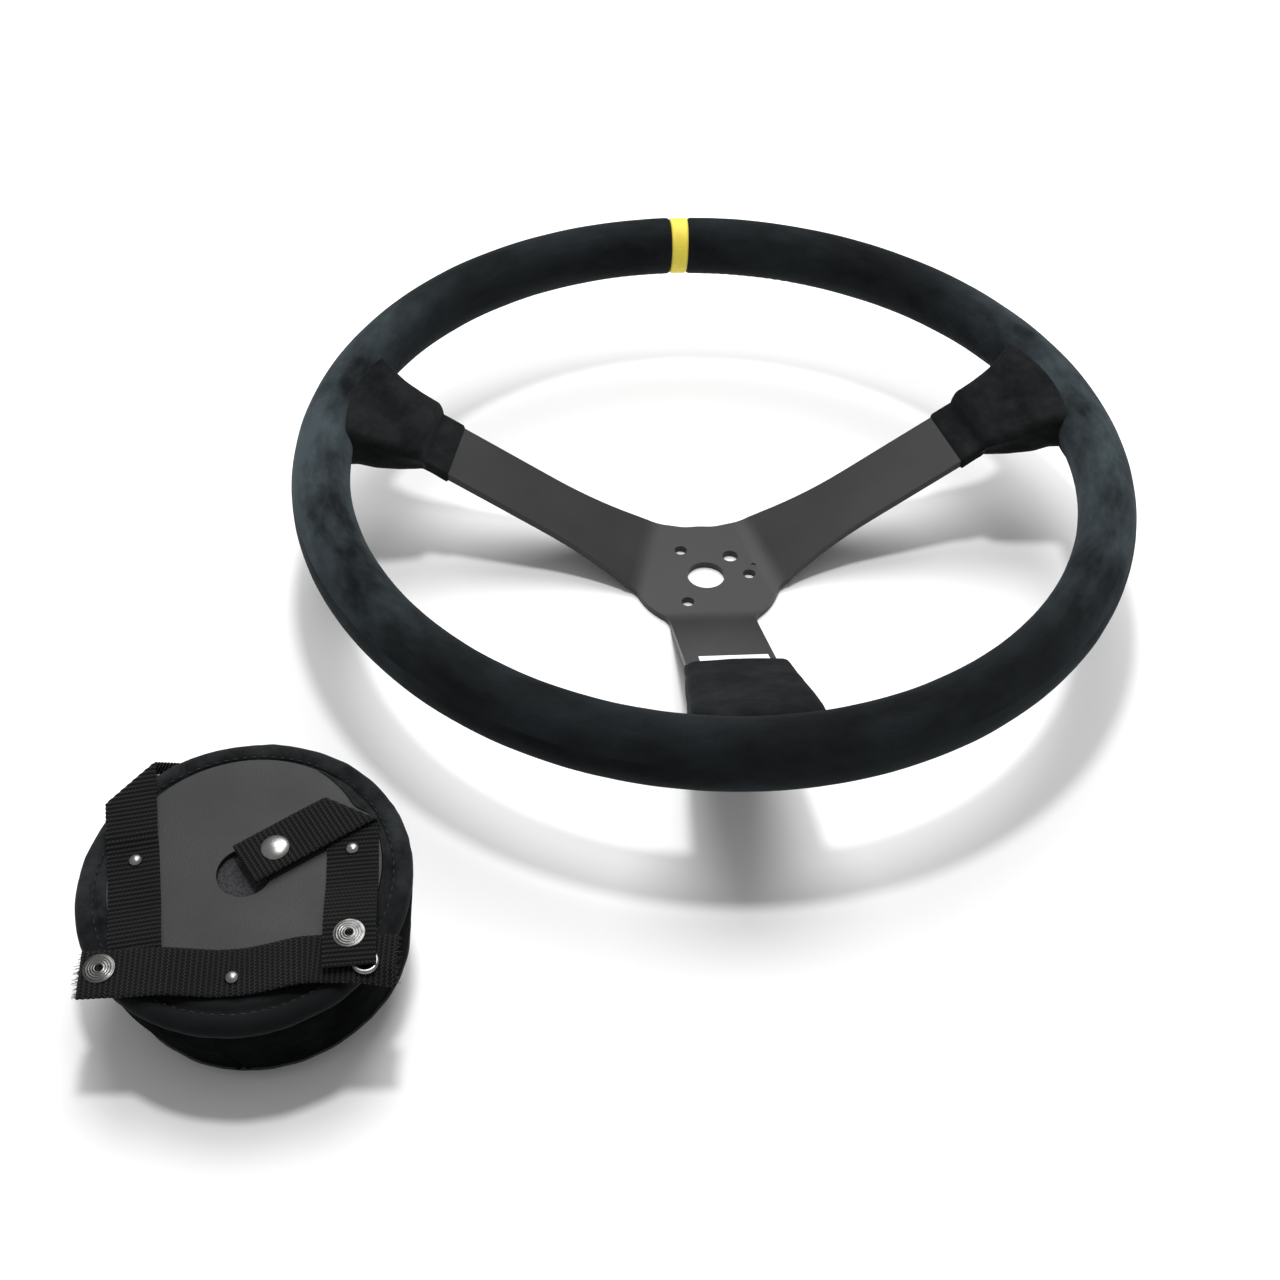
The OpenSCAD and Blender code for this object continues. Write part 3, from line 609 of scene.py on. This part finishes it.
def boot_section(u, start, spoke_half, upper, lower, undercut):
    """One cross-section of a boot, as [across, height] points: a thin collar that swells into padding.

    The front is flat with tight corners and straight sides, and the back is a shallow bulge. undercut is
    how far the lower side slopes in towards the back near the spoke.
    """
    k = 0.0 if u < start else math.sqrt(max(0, 1 - (max(start + STEP - u, 0) / STEP) ** 2))
    mid = spoke_z(u)
    collar_out = 2.4 if u > start - COLLAR + 0.4 else 1.2
    thin = PLATE_HALF + collar_out / 2
    rising_front = spoke_z(min(u, MEET_U)) + BOOT_RISE + max(u - MEET_U, 0) * math.tan(RISE)
    padded_front = soft_min(rising_front, CREST, 6)
    top = mid + thin + (padded_front - mid - thin) * k
    low = mid - thin + (boot_back(u, start) - mid + thin) * k
    left = spoke_half + collar_out / 2 + (upper(u) - spoke_half - collar_out / 2) * k
    right = spoke_half + collar_out / 2 + (lower(u) - spoke_half - collar_out / 2) * k
    corner = 1.2 + 3.4 * k
    widest = mid - 1.5 * k
    shoulder = top - corner
    tuck = undercut * k * (1 - smoothstep(u, 142, 166))
    points = [(left, widest + (shoulder - widest) * i / 5) for i in range(5)]
    points += [(left - corner * (1 - math.cos(a)), shoulder + corner * math.sin(a)) for a in QUARTER]
    points += [((left - corner) * (1 - t) - (right - corner) * t, top + 0.9 * k * (1 - (2 * t - 1) ** 2))
               for t in ACROSS]
    points += [(corner * (1 - math.sin(a)) - right, shoulder + corner * math.cos(a)) for a in QUARTER]
    points += [(tuck * i / 5 - right, shoulder + (widest - shoulder) * i / 5) for i in range(1, 6)]
    power = 2 / (9 - 6.6 * k)
    for i in range(1, 28):
        c, depth = math.cos(math.pi * i / 28), math.sin(math.pi * i / 28) ** power
        v = -math.copysign(abs(c) ** power, c)
        points.append((v * (left if v > 0 else right - tuck), widest - depth * (widest - low)))
    return points


def spread(base, start, amount, power, reach=41):
    """A half-width as a function of u: base up to start, and then wider by amount at the end of a reach."""
    return lambda u: base + amount * (max(u - start, 0) / reach) ** power


def boot(side, matrix, start, spoke_half, upper, lower, undercut=0):
    """A padded boot with its collar, from the spoke to inside the rim's grip."""
    stations = [start - COLLAR, start - COLLAR + 0.2, start - COLLAR + 0.8]
    stations += [start - 10 + 10 * i / 6 for i in range(1, 7)]
    stations += [start + STEP * (1 - math.cos(math.pi / 2 * i / 9)) for i in range(1, 10)]
    stations += [start + STEP + (BOOT_END - start - STEP) * i / 30 for i in range(1, 31)]
    rows = []
    for u in stations:
        pinch = 0.8 if u == stations[0] else 0
        row = []
        for v, z in boot_section(u, start, spoke_half, upper, lower, undercut):
            soft = wander((u, v, z), 12, 0.35) + wander((u, v, z), 4, 0.12)
            away = Vector((0, v, z - spoke_z(u))).normalized()
            row.append(Vector((u, v, z)) + away * (soft - pinch))
        rows.append(row)
    obj = loft("boot_suede_" + side, rows, BOOT_SUEDE, matrix)
    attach(obj, "wheel")
    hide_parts("boot_cover_" + side, "boot_foam_" + side)


side_upper = spread(19.6, 141, 20.5, 3.2)
side_taper = spread(21.4, 141, 15, 0.6)
bottom_side = spread(23.6, 111, 5.4, 0.9, 60)


def side_lower(u):
    """Half-width of a side boot towards the driver's lap, which flares again where it meets the rim."""
    return side_taper(u) + 8 * (max(u - MEET_U, 0) / (BOOT_END - MEET_U)) ** 2


boot("right", side_spoke(False), SIDE_START, SIDE_HALF, side_upper, side_lower, 6)
boot("left", side_spoke(True), SIDE_START, SIDE_HALF, side_upper, side_lower, 6)
boot("bottom", BOTTOM_SPOKE, BOTTOM_START, BOTTOM_HALF, bottom_side, bottom_side)

# The patches where the boots lap onto the rim: their distance from the wheel's axis, and the side ones'
# angle round it
PATCH_R = 184
SPOKE_AT_RIM = SIDE_ANGLE + math.degrees(math.asin(SIDE_OFFSET / PATCH_R))
# Where round the grip's section a patch ends at the back, and half the widths of its top and its piping,
# in degrees
PATCH_LOW = 222
PATCH_HALF, PIPING_HALF = 8.2, 8.1


def patch_top(c):
    """Where round the grip's section the arched top edge lies, at c from -1 to 1 along it."""
    return 127 + 10 * abs(c) ** 2.2


def rim_patch(name, centre, turn):
    """The boot's suede where it laps onto the rim, with an arched top and sewn-down sides."""
    rows = []
    columns = 60
    for i in range(26):
        row = []
        for j in range(columns + 1):
            c = 2 * j / columns - 1
            top = patch_top(c)
            t = top + (PATCH_LOW - top) * i / 25
            half = PATCH_HALF + 4.2 * max(t - 136, 0) / 64
            edge = min(1 - abs(c), i / 25 * 3)
            lift = -0.5 + 1.2 * smoothstep(edge, 0.0, 0.05)
            row.append(grip_point(centre + turn * c * half, t, lift))
        rows.append(row)
    obj = loft(name, rows, BOOT_SUEDE, closed=False, caps=False)
    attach(obj, "wheel")


def patch_piping(name, centre, turn):
    """A raised piping along the patch's top edge, from corner to corner."""
    path = []
    for i in range(-40, 41):
        c = i / 40
        path.append(grip_point(centre + turn * c * PIPING_HALF, patch_top(c) - 1, 0.75))
    path = [p + Vector((0, 0, wander(p, 5, 0.2))) for p in path]
    obj = tube(name, path, 0.85, PIPING_SUEDE, 10)
    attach(obj, "wheel")


for side, centre, turn in (("right", SPOKE_AT_RIM, 1), ("left", 180 - SPOKE_AT_RIM, -1), ("bottom", -90, 1)):
    rim_patch("rim_patch_" + side, centre, turn)
    patch_piping("rim_patch_piping_" + side, centre, turn)


# ---- The crash pad ---------------------------------------------------------

# The pad leans by PAD_TILT towards LEAN_TO. In its own frame the back plate's upper face is at z = 0.
PAD_TILT, LEAN_TO = 8, 238.7
# The wall's radius and depth, and the depth of the domed face below it
WALL_R, WALL_D, DOME_D = 59.5, 40, 15.5
SHELL_T = 1.4
# The binding's roll: the middle and the radius of its section
ROLL_C, ROLL_Z, ROLL_R = 63.9, -2.5, 4.4
PLATE_AT, PLATE_R = (0, 4), 55.7
# Where the binding's free end laps over its start, in degrees
OVERLAP_AT = 62.5


def turn_z(degrees):
    """A turn about z."""
    return Matrix.Rotation(math.radians(degrees), 4, "Z")


tilt = math.radians(PAD_TILT)
pad_height = WALL_D * math.cos(tilt) + math.hypot(DOME_D * math.cos(tilt), WALL_R * math.sin(tilt))
PAD = (Matrix.Translation((-214.8, -230.8, pad_height)) @ turn_z(LEAN_TO)
       @ Matrix.Rotation(tilt, 4, "Y") @ turn_z(-LEAN_TO))


def in_pad(points):
    """Points in the pad's own frame, moved to where the pad lies."""
    return [PAD @ Vector(p) for p in points]


def sag(z):
    """The soft body leans a little under the plate."""
    k = min(max((-z - 6) / 34, 0), 1) ** 1.5
    return Vector((2.6 * k, -3.6 * k, 0))


def seam_pull(a, seam_angle):
    """How far a panel stands out beside its seam, and how far it dips into it, at an angle round the pad."""
    if seam_angle is None:
        return 0
    away = math.degrees(abs((a - math.radians(seam_angle) + math.pi) % TURN - math.pi))
    return 0.9 * math.exp(-((away - 1.6) / 1.1) ** 2) - 1.1 * math.exp(-(away / 0.5) ** 2)


def pad_shell(name, profile, node, material, seam_angle=None):
    """A turned panel of the pad with some give in it.

    profile is a list of [radius, height], down the outside from the top.
    """
    steps = 200
    inner = [(r - SHELL_T, z + (SHELL_T if r < WALL_R - 2 else 0)) for r, z in reversed(profile)]
    rows = []
    for i in range(steps + 1):
        a = TURN * (i % steps) / steps
        pull = seam_pull(a, seam_angle)
        row = []
        for r, z in profile + inner:
            at = Vector((r * math.cos(a), r * math.sin(a), z))
            soft = wander(at, 20, 0.9) + wander(at, 7, 0.3)
            size = max(r + pull + soft, 0) if r > 0 else 0
            row.append(Vector((size * math.cos(a), size * math.sin(a), z)) + sag(z))
        rows.append(row)
    obj = loft(name, rows, material, PAD, closed=True, caps=False)
    weld(obj)
    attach(obj, "pad")
    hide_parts(node)
    return obj


wall_profile = [(WALL_R + 7.2 - 7.4 * (i / 16) ** 1.25 + 1.1 * math.sin(math.pi * i / 16), -5 - 35 * i / 16)
                for i in range(17)]
# The side panel's colour is partly painted shade
side_panel = pad_shell("pad_side_suede", wall_profile, "pad_side_panel", PAD_SUEDE_PAINTED_SHADE, seam_angle=-97.5)

dome_profile = [(WALL_R - 0.6, -WALL_D + 0.4), (WALL_R + 0.5, -WALL_D - 0.8)]
dome_profile += [(WALL_R * math.cos(math.radians(a)), -WALL_D - DOME_D * math.sin(math.radians(a)))
                 for a in range(6, 90, 6)]
dome_profile += [(0, -WALL_D - DOME_D)]
face_panel = pad_shell("pad_face_cloth", dome_profile, "pad_face_panel", FACE)


def plate_edge(a):
    """Distance from the pad's axis to the edge of the back plate, which sits off centre."""
    away = PLATE_AT[1] * math.cos(a)
    return PLATE_AT[1] * math.sin(a) + math.sqrt(PLATE_R ** 2 - away ** 2)


def overlap_lip(a):
    """How far the binding's free end laps over the plate, clockwise of its step."""
    degrees = math.degrees(a) % 360
    if degrees >= OVERLAP_AT:
        return 0
    return 3.4 * smoothstep(degrees, 27, 36) * (1 - max(degrees - 38, 0) / 24.5)


def pad_roll():
    """The suede binding: a roll round the pad, and inside it a flange that meets the plate."""
    steps, sides = 300, 22
    overlap = math.radians(OVERLAP_AT)
    rows = []
    for i in range(steps + 1):
        a = TURN * (i % steps) / steps
        outward = Vector((math.cos(a), math.sin(a), 0))
        past = (overlap - a) % TURN
        fat = 0.6 * math.exp(-past / 0.3) * smoothstep(past, 0, 0.03)
        lip = overlap_lip(a)
        row = []
        for j in range(sides + 1):
            t = math.radians(-100 + 250 * j / sides)
            at = outward * (ROLL_C + math.cos(t) * ROLL_R) + Vector((0, 0, ROLL_R * math.sin(t)))
            size = ROLL_R + fat * max(-math.cos(t), 0) + wander(at, 15, 0.5) + wander(at, 4.5, 0.22)
            row.append((ROLL_C + size * math.cos(t), ROLL_Z + size * math.sin(t)))
        inner = plate_edge(a) + 0.3 - lip
        foot = ROLL_C - ROLL_R * 0.87
        room = max(foot - inner, 0.2)
        on_plate = smoothstep(lip, 0, 0.5)
        for k in range(1, 8):
            x = foot - room * k / 8
            fold = wander((x * outward.x, x * outward.y, 40), 6, 0.55)
            ridge = 0.9 * math.exp(-((k - 3.5) / 1.6) ** 2) * min(room / 5, 1)
            row.append((x, -0.75 + ridge + fold * min(room / 4, 1) + 1.3 * on_plate * k / 8))
        row += [(inner, -0.5 + 1.2 * on_plate), (inner - 0.05, -0.9 + 1.1 * on_plate),
                (max(inner, plate_edge(a) + 0.2), -2.3), (foot, -2.4), (ROLL_C - 2, -5)]
        rows.append([outward * r + Vector((0, 0, z)) for r, z in row])
    obj = loft("pad_binding_suede", rows, BINDING_SUEDE, PAD, closed=True, caps=False)
    weld(obj)
    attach(obj, "pad")
    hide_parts("pad_binding")


pad_roll()


def binding_stitches():
    """A running stitch in the crease of the binding, on the side of the plate."""
    pieces = []
    count = 96
    for i in range(count):
        ends = []
        for k in (0.12, 0.82):
            a = TURN * (i + k) / count
            r = ROLL_C - 3.3
            ends.append(Vector((r * math.cos(a), r * math.sin(a), ROLL_Z + 3.0)))
        middle = (ends[0] + ends[1]) / 2 + Vector((0, 0, 0.15))
        pieces.append(tube("stitch", in_pad([ends[0], middle, ends[1]]), 0.26, THREAD, 5))
    obj = join("pad_binding_stitches", pieces)
    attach(obj, "pad")


binding_stitches()

core = lathe("pad_core_face", [(0, -3.0), (6, -2.9), (11, -2.7), (13, -3.4), (13, -6), (0, -6)], FOAM,
             PAD @ Matrix.Translation((*PLATE_AT, 0)))
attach(core, "pad")
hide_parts("pad_foam")

plate = bevelled("pad_back_plate", "pad_plate_sheet", PLATE, 0.25)
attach(plate, "pad")

frame["nodes"]["rivet_washers"].data.materials[0] = NICKEL


# ---- Webbing ---------------------------------------------------------------

# The webbing's width and thickness
WEB_W, WEB_T = 20.5, 1.5
HALF = WEB_W / 2


def height_at(profile, x):
    """Height of a strap's lower face, from a list of [along, height] corners that are then rounded."""
    total, weight = 0.0, 0.0
    for k in range(-3, 4):
        s = min(max(x + k * 1.1, profile[0][0]), profile[-1][0])
        for (x0, z0), (x1, z1) in zip(profile, profile[1:]):
            if x0 <= s <= x1:
                w = 4 - abs(k)
                total += w * (z0 + (z1 - z0) * (s - x0) / (x1 - x0))
                weight += w
                break
    return total / weight


def web_ring():
    """The webbing's cross-section as [across, through] points from -1 to 1, with rounded selvedges."""
    top = [(-1 + 2 * i / 16, 1) for i in range(17)]
    low = [(1 - 2 * i / 16, -1) for i in range(17)]
    return top + [(1.025, 0.45), (1.025, -0.45)] + low + [(-1.025, -0.45), (-1.025, 0.45)]


def strap(name, start, end, surface, body, nodes):
    """Webbing from start to end along its own length.

    surface(along, across) gives a point in the middle of its thickness, and the normal there.
    """
    ring = web_ring()
    count = int(round(abs(end - start) / RIB * STEPS_PER_RIB))
    rows = []
    stations = [start + (end - start) * i / count for i in range(count + 1)]
    for s in stations:
        rib = math.cos(TURN * s / RIB)
        crest = 1 - 2 * (0.5 - 0.5 * rib) ** 1.8
        row = []
        for v, w in ring:
            across = v * (HALF + 0.09 * rib)
            point, normal = surface(s, across)
            corner = 0.82 if abs(v) >= 1 else 1
            through = w * corner * (WEB_T / 2 - 0.2 + 0.2 * crest)
            row.append(point + normal * through)
        rows.append(row)
    lift = [HALF * v * MM for v, _ in ring]
    obj = loft(name, rows, WEBBING, PAD, uv=lambda i, j: (stations[i] * MM, lift[j % len(ring)]))
    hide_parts(*nodes)
    if body:
        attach(obj, body)
    return obj


def strap_frame(origin, degrees):
    """A strap's own frame in the pad's: x along it and z through it."""
    return Matrix.Translation((*origin, 0)) @ turn_z(degrees)


def flat_strap(origin, degrees, profile, bends=(), droop=None):
    """A surface for a strap through origin, heading along an angle, over a height profile.

    bends holds (start, end, degrees): stretches over which the strap turns sideways. Its heading is zero
    at 0.
    """
    frame_matrix = strap_frame(origin, degrees)
    known = {}

    def heading(s):
        return sum(math.radians(d) * (smoothstep(s, a, b) - smoothstep(0, a, b)) for a, b, d in bends)

    def centre(s):
        if s not in known:
            x = y = 0.0
            for k in range(60):
                h = heading(s * (k + 0.5) / 60)
                x += s / 60 * math.cos(h)
                y += s / 60 * math.sin(h)
            known[s] = (x, y, heading(s))
        return known[s]

    def surface(s, across):
        x, y, h = centre(s)
        slope = (height_at(profile, s + 0.4) - height_at(profile, s - 0.4)) / 0.8
        normal = Vector((-slope * math.cos(h), -slope * math.sin(h), 1)).normalized()
        point = Vector((x - across * math.sin(h), y + across * math.cos(h), height_at(profile, s)))
        point += normal * (WEB_T / 2)
        point.z += wander((x, y + across, origin[0]), 18, 0.3)
        if droop:
            point.z -= droop(s, across)
        return frame_matrix @ point, frame_matrix.to_3x3() @ normal

    return surface


def folded(surface, at, normal, radius, angle, up):
    """A surface that, past the line through `at` and square to `normal`, curls through an angle."""
    n = Vector((*normal, 0)).normalized()
    sign = 1 if up else -1

    def bent(s, across):
        point, face = surface(s, across)
        q = (point - Vector((*at, 0))).dot(n)
        if q <= 0:
            return point, face
        phi = min(q / radius, angle)
        rest = max(q - radius * angle, 0)
        out = radius * math.sin(phi) + rest * math.cos(angle)
        rise = sign * (radius * (1 - math.cos(phi)) + rest * math.sin(angle))
        moved = point + n * (out - q) + Vector((0, 0, rise))
        turned = Vector((0, 0, math.cos(phi))) - n * sign * math.sin(phi)
        return moved, turned.normalized()

    return bent


def direction(degrees):
    """A unit vector in the plane of the pad's back plate."""
    return Vector((math.cos(math.radians(degrees)), math.sin(math.radians(degrees))))


# Left strap: under the bottom strap at its lower end, folded over the pad's edge at its upper end.
# FOLD_DIR is square to the fold, and HANG_TURN is how far the hanging end is turned down there.
LEFT_AT, LEFT_DIR = (-45.3, 14.6), 95.2
FOLD_DIR, HANG_TURN = 135, math.radians(88)
left_profile = [(-60, 2.4), (-38, 2.4), (-24, 0.2), (-8, 0), (4, 0.0), (10, 2.2), (90, 2.3)]
fold_line = direction(FOLD_DIR) * 69.05
left_flat = flat_strap(LEFT_AT, LEFT_DIR, left_profile)
left_surface = folded(left_flat, fold_line, direction(FOLD_DIR), 1.5, HANG_TURN, up=False)
left_strap = strap("strap_left_webbing", -60, 62.5, left_surface, None, ("strap_left", "strap_left_top"))
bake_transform(left_strap)

# Right strap: two pieces of webbing that meet under the rivet, a flap and a lower end
RIGHT_AT = (44, 12.9)
right_profile = [(-62, 8.3), (-40.9, 8.3), (-32.9, 6), (-20.9, 1.6), (-9, 0), (90, 0)]
right_flat = flat_strap(RIGHT_AT, 90, right_profile)
crease_normal = direction(149.2 - 90)
flap_surface = folded(right_flat, (44, 27.2), crease_normal, 1.2, math.pi, up=True)
flap = strap("strap_right_flap_webbing", 0, 66.2, flap_surface, None, ("strap_right_flap",))
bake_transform(flap)
low = strap("strap_right_webbing", -60.9, -0.02, right_flat, None, ("strap_right", "strap_right_low"))
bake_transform(low)

# Bottom strap: over the left strap at one end, and under the right strap at the other
BOTTOM_AT = (0, -42.3)
bottom_profile = [(-64.5, 4.7), (-29, 4.7), (-18, 2), (-10, 0), (4, 0), (12, 1.5), (22, 4.3), (80, 4.3)]


def tail_droop(s, across):
    """The outer corner of the bottom strap's right end hangs over the pad's edge."""
    return 3.5 * smoothstep(s, 46, 62) * smoothstep(-across, 3, 10.25)


bottom_bends = ((-4, 4, 3.5), (24, 32, -7))
bottom_surface = flat_strap(BOTTOM_AT, 0, bottom_profile, bends=bottom_bends, droop=tail_droop)
bottom = strap("strap_bottom_webbing", -61.5, 62, bottom_surface, None, ("strap_bottom", "strap_bottom_left"))
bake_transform(bottom)


def fray(name, surface, s, outward, body, count=46):
    """Loose yarns at a cut end of webbing."""
    pieces = []
    for _ in range(count):
        across = random.uniform(-HALF, HALF)
        point, normal = surface(s, across)
        point += normal * random.uniform(-0.5, 0.5)
        reach = random.uniform(0.5, 2.4)
        tip = point + outward * reach + Vector((random.uniform(-0.7, 0.7), random.uniform(-0.9, 0.9),
                                                random.uniform(-0.7, 0.4)))
        path = [point - outward * 0.8, point, point.lerp(tip, 0.6) + normal * random.uniform(-0.3, 0.3), tip]
        pieces.append(tube("yarn", in_pad(path), random.uniform(0.09, 0.17), THREAD, 4))
    obj = join(name, pieces)
    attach(obj, body)


fray("strap_bottom_left_fray", bottom_surface, -61.4, Vector((-1, -0.1, 0)), "bottom_left_end")
fray("strap_bottom_right_fray", bottom_surface, 61.9, Vector((1, -0.14, 0)), "pad", 30)


# ---- Rivets and press studs ------------------------------------------------


def on(matrix, x, y, z):
    """The place of a part at a point of a strap's frame."""
    return PAD @ matrix @ Matrix.Translation((x, y, z))


FLIP = Matrix.Rotation(math.pi, 4, "X")
LEFT = strap_frame(LEFT_AT, LEFT_DIR)
RIGHT = strap_frame(RIGHT_AT, 90)
BOTTOM = strap_frame(BOTTOM_AT, 0)
BOTTOM_LEFT = strap_frame(BOTTOM_AT, -3.5)
FLAP = strap_frame((44, 29.4), 208.4) @ Matrix.Translation((0, 0, 2.4))

# The frame of the left strap's hanging end: it begins where the strap's middle line crosses the fold, with
# y along the webbing and z outwards. HANG_AT is how far the end's inner face is from the pad's axis, and
# crossing is the angle between the strap and the fold, in degrees.
HANG_AT = 69.8
crossing = LEFT_DIR - 45
fold_x = (LEFT_AT[0] + LEFT_AT[1]) * math.cos(math.radians(45))
fold_y = (LEFT_AT[1] - LEFT_AT[0]) * math.cos(math.radians(45))
along_fold = fold_x + (HANG_AT - fold_y) / math.tan(math.radians(crossing))
HANG = turn_z(45) @ Matrix.Translation((0, HANG_AT, 2.3)) @ Matrix.Rotation(-HANG_TURN, 4, "X")
HANG = HANG @ Matrix.Translation((along_fold, 0, 0)) @ turn_z(crossing - 90)

# Profiles of the turned metal parts, as [radius, height] over the face of the webbing
EYELET = [(1.05, -0.9), (1.25, -0.2), (1.35, 0.35), (1.7, 0.74), (2.15, 0.76), (2.5, 0.48), (2.85, 0.66),
          (3.2, 0.62), (3.5, 0.38), (3.85, 0.56), (4.2, 0.52), (4.5, 0.3), (4.9, 0.48), (5.3, 0.42),
          (5.6, 0.22), (6.0, 0.34), (6.4, 0.2), (6.6, -0.05), (6.2, -0.12), (2.2, -0.12), (1.6, -1.2)]
CAP = [(0, 1.8), (1.5, 1.74), (3.0, 1.5), (4.3, 1.1), (5.2, 0.68), (5.75, 0.34), (6.0, 0.12), (5.9, -0.05),
       (5.2, -0.1), (0, -0.1)]
SOCKET = [(3.1, 0.5), (3.15, 1.2), (3.5, 1.75), (4.1, 2.1), (4.8, 2.15), (5.3, 1.8), (5.5, 1.2), (5.5, 0.3),
          (5.2, -0.05), (0, -0.05), (0, 0.45)]
STUD = [(1.1, 0.0), (1.1, 1.7), (1.6, 2.1), (2.3, 2.15), (2.75, 1.9), (2.7, 1.6), (2.35, 1.3), (2.5, 0.95),
        (3.4, 0.8), (4.9, 0.75), (5.45, 0.5), (5.5, 0.1), (5.2, -0.05), (1.3, -0.05)]

# Each part of a press stud: its CAD node, profile, frame, place in that frame, and body
HARDWARE = (
    ("left_top_cap", CAP, HANG @ FLIP, (0, -13.5, 0), "left_top_end"),
    ("left_top_socket", SOCKET, HANG, (0, 13.5, WEB_T), "left_top_end"),
    ("left_low_eyelet", EYELET, LEFT, (-52.5, 0, 2.4 + WEB_T), "pad"),
    ("left_low_stud", STUD, LEFT @ FLIP, (-52.5, 0, -2.4), "pad"),
    ("right_flap_cap", CAP, FLAP, (35.5, 0.3, WEB_T), "right_flap"),
    ("right_flap_socket", SOCKET, FLAP @ FLIP, (35.5, -0.3, 0), "right_flap"),
    ("right_low_eyelet", EYELET, RIGHT, (-47.1, 0, 8.3 + WEB_T), "right_low_end"),
    ("right_low_stud", STUD, RIGHT @ FLIP, (-47.1, 0, -8.3), "right_low_end"),
    ("bottom_left_eyelet", EYELET, BOTTOM_LEFT, (-53.9, 0.5, 4.7 + WEB_T), "bottom_left_end"),
    ("bottom_left_stud", STUD, BOTTOM_LEFT @ FLIP, (-53.9, -0.5, -4.7), "bottom_left_end"),
    ("bottom_right_socket", SOCKET, BOTTOM, (50, -3.6, 4.3 + WEB_T), "pad"),
    ("bottom_right_cap", CAP, BOTTOM @ FLIP, (50, 3.6, -4.3), "pad"),
)
for node, profile, matrix, at, body in HARDWARE:
    finish = GUNMETAL if profile == EYELET else NICKEL
    piece = lathe(node + "_plated", profile, finish, on(matrix, *at))
    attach(piece, body)
    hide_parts(node)

RIVET = [(0, 1.55), (0.9, 1.46), (1.8, 1.15), (2.5, 0.65), (2.85, 0.2), (2.8, -0.05), (2.2, -0.15),
         (0, -0.15)]
heads = []
for x, y in ((-44.2, 13.3), (43.9, 10.3), (-2.7, -44.7)):
    heads.append(lathe("rivet", RIVET, NICKEL, PAD @ Matrix.Translation((x, y, WEB_T + 0.1)), 32))
rivets = join("pad_rivet_heads", heads)
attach(rivets, "pad")
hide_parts("pad_rivets")


# ---- Stage, light and camera -----------------------------------------------

# Half of the floor's side, and its height, just under the lowest point of the visual pieces
FLOOR_HALF, FLOOR_Z = 4, -0.0004


def stage():
    """A pale floor, nearly even in colour."""
    s = Shader("studio_floor", Roughness=0.55, Specular_IOR_Level=0.25)
    s.color(s.blend(s.noise(s.coordinates("Object"), 3, 2), (0.83, 0.83, 0.83), (0.86, 0.86, 0.86)))
    near, far = -FLOOR_HALF, FLOOR_HALF
    corners = [(near, near, 0), (far, near, 0), (far, far, 0), (near, far, 0)]
    floor = new_object("studio_floor", corners, [(0, 1, 2, 3)], s.material)
    floor.location.z = FLOOR_Z


def area_light(name, location, target, size, power):
    """A round soft light that faces a point. size is in metres and power in watts."""
    data = bpy.data.lights.new(name, "AREA")
    data.shape = "DISK"
    data.size = size
    data.energy = power
    light = bpy.data.objects.new(name, data)
    light.location = location
    light.rotation_euler = (Vector(target) - Vector(location)).to_track_quat("-Z", "Y").to_euler()
    bpy.context.scene.collection.objects.link(light)


def camera():
    """The camera, at the photograph's viewing angle."""
    data = bpy.data.cameras.new("camera")
    data.lens = 57.87
    data.sensor_width = 36
    data.clip_end = 50
    cam = bpy.data.objects.new("camera", data)
    right = Vector((0.99613, -0.08105, 0.03414))
    up = Vector((0.0325, 0.69999, 0.71342))
    back = Vector((-0.08172, -0.70954, 0.69991))
    cam.matrix_world = (Matrix.Translation((-0.1203, -0.7647, 0.7128))
                        @ Matrix((right, up, back)).transposed().to_4x4())
    bpy.context.scene.collection.objects.link(cam)
    bpy.context.scene.camera = cam


def world():
    """An even white surround."""
    scene = bpy.context.scene
    scene.world = bpy.data.worlds.new("studio")
    scene.world.use_nodes = True
    background = scene.world.node_tree.nodes["Background"]
    background.inputs["Color"].default_value = (1, 1, 1, 1)
    background.inputs["Strength"].default_value = 0.44
    scene.view_settings.view_transform = "Standard"


stage()
world()
area_light("overhead", (-0.10, -0.05, 1.5), (0, -0.02, 0), 0.17, 11)
area_light("ceiling", (0.08, 0.95, 1.9), (0, 0, 0), 1.6, 42)
camera()
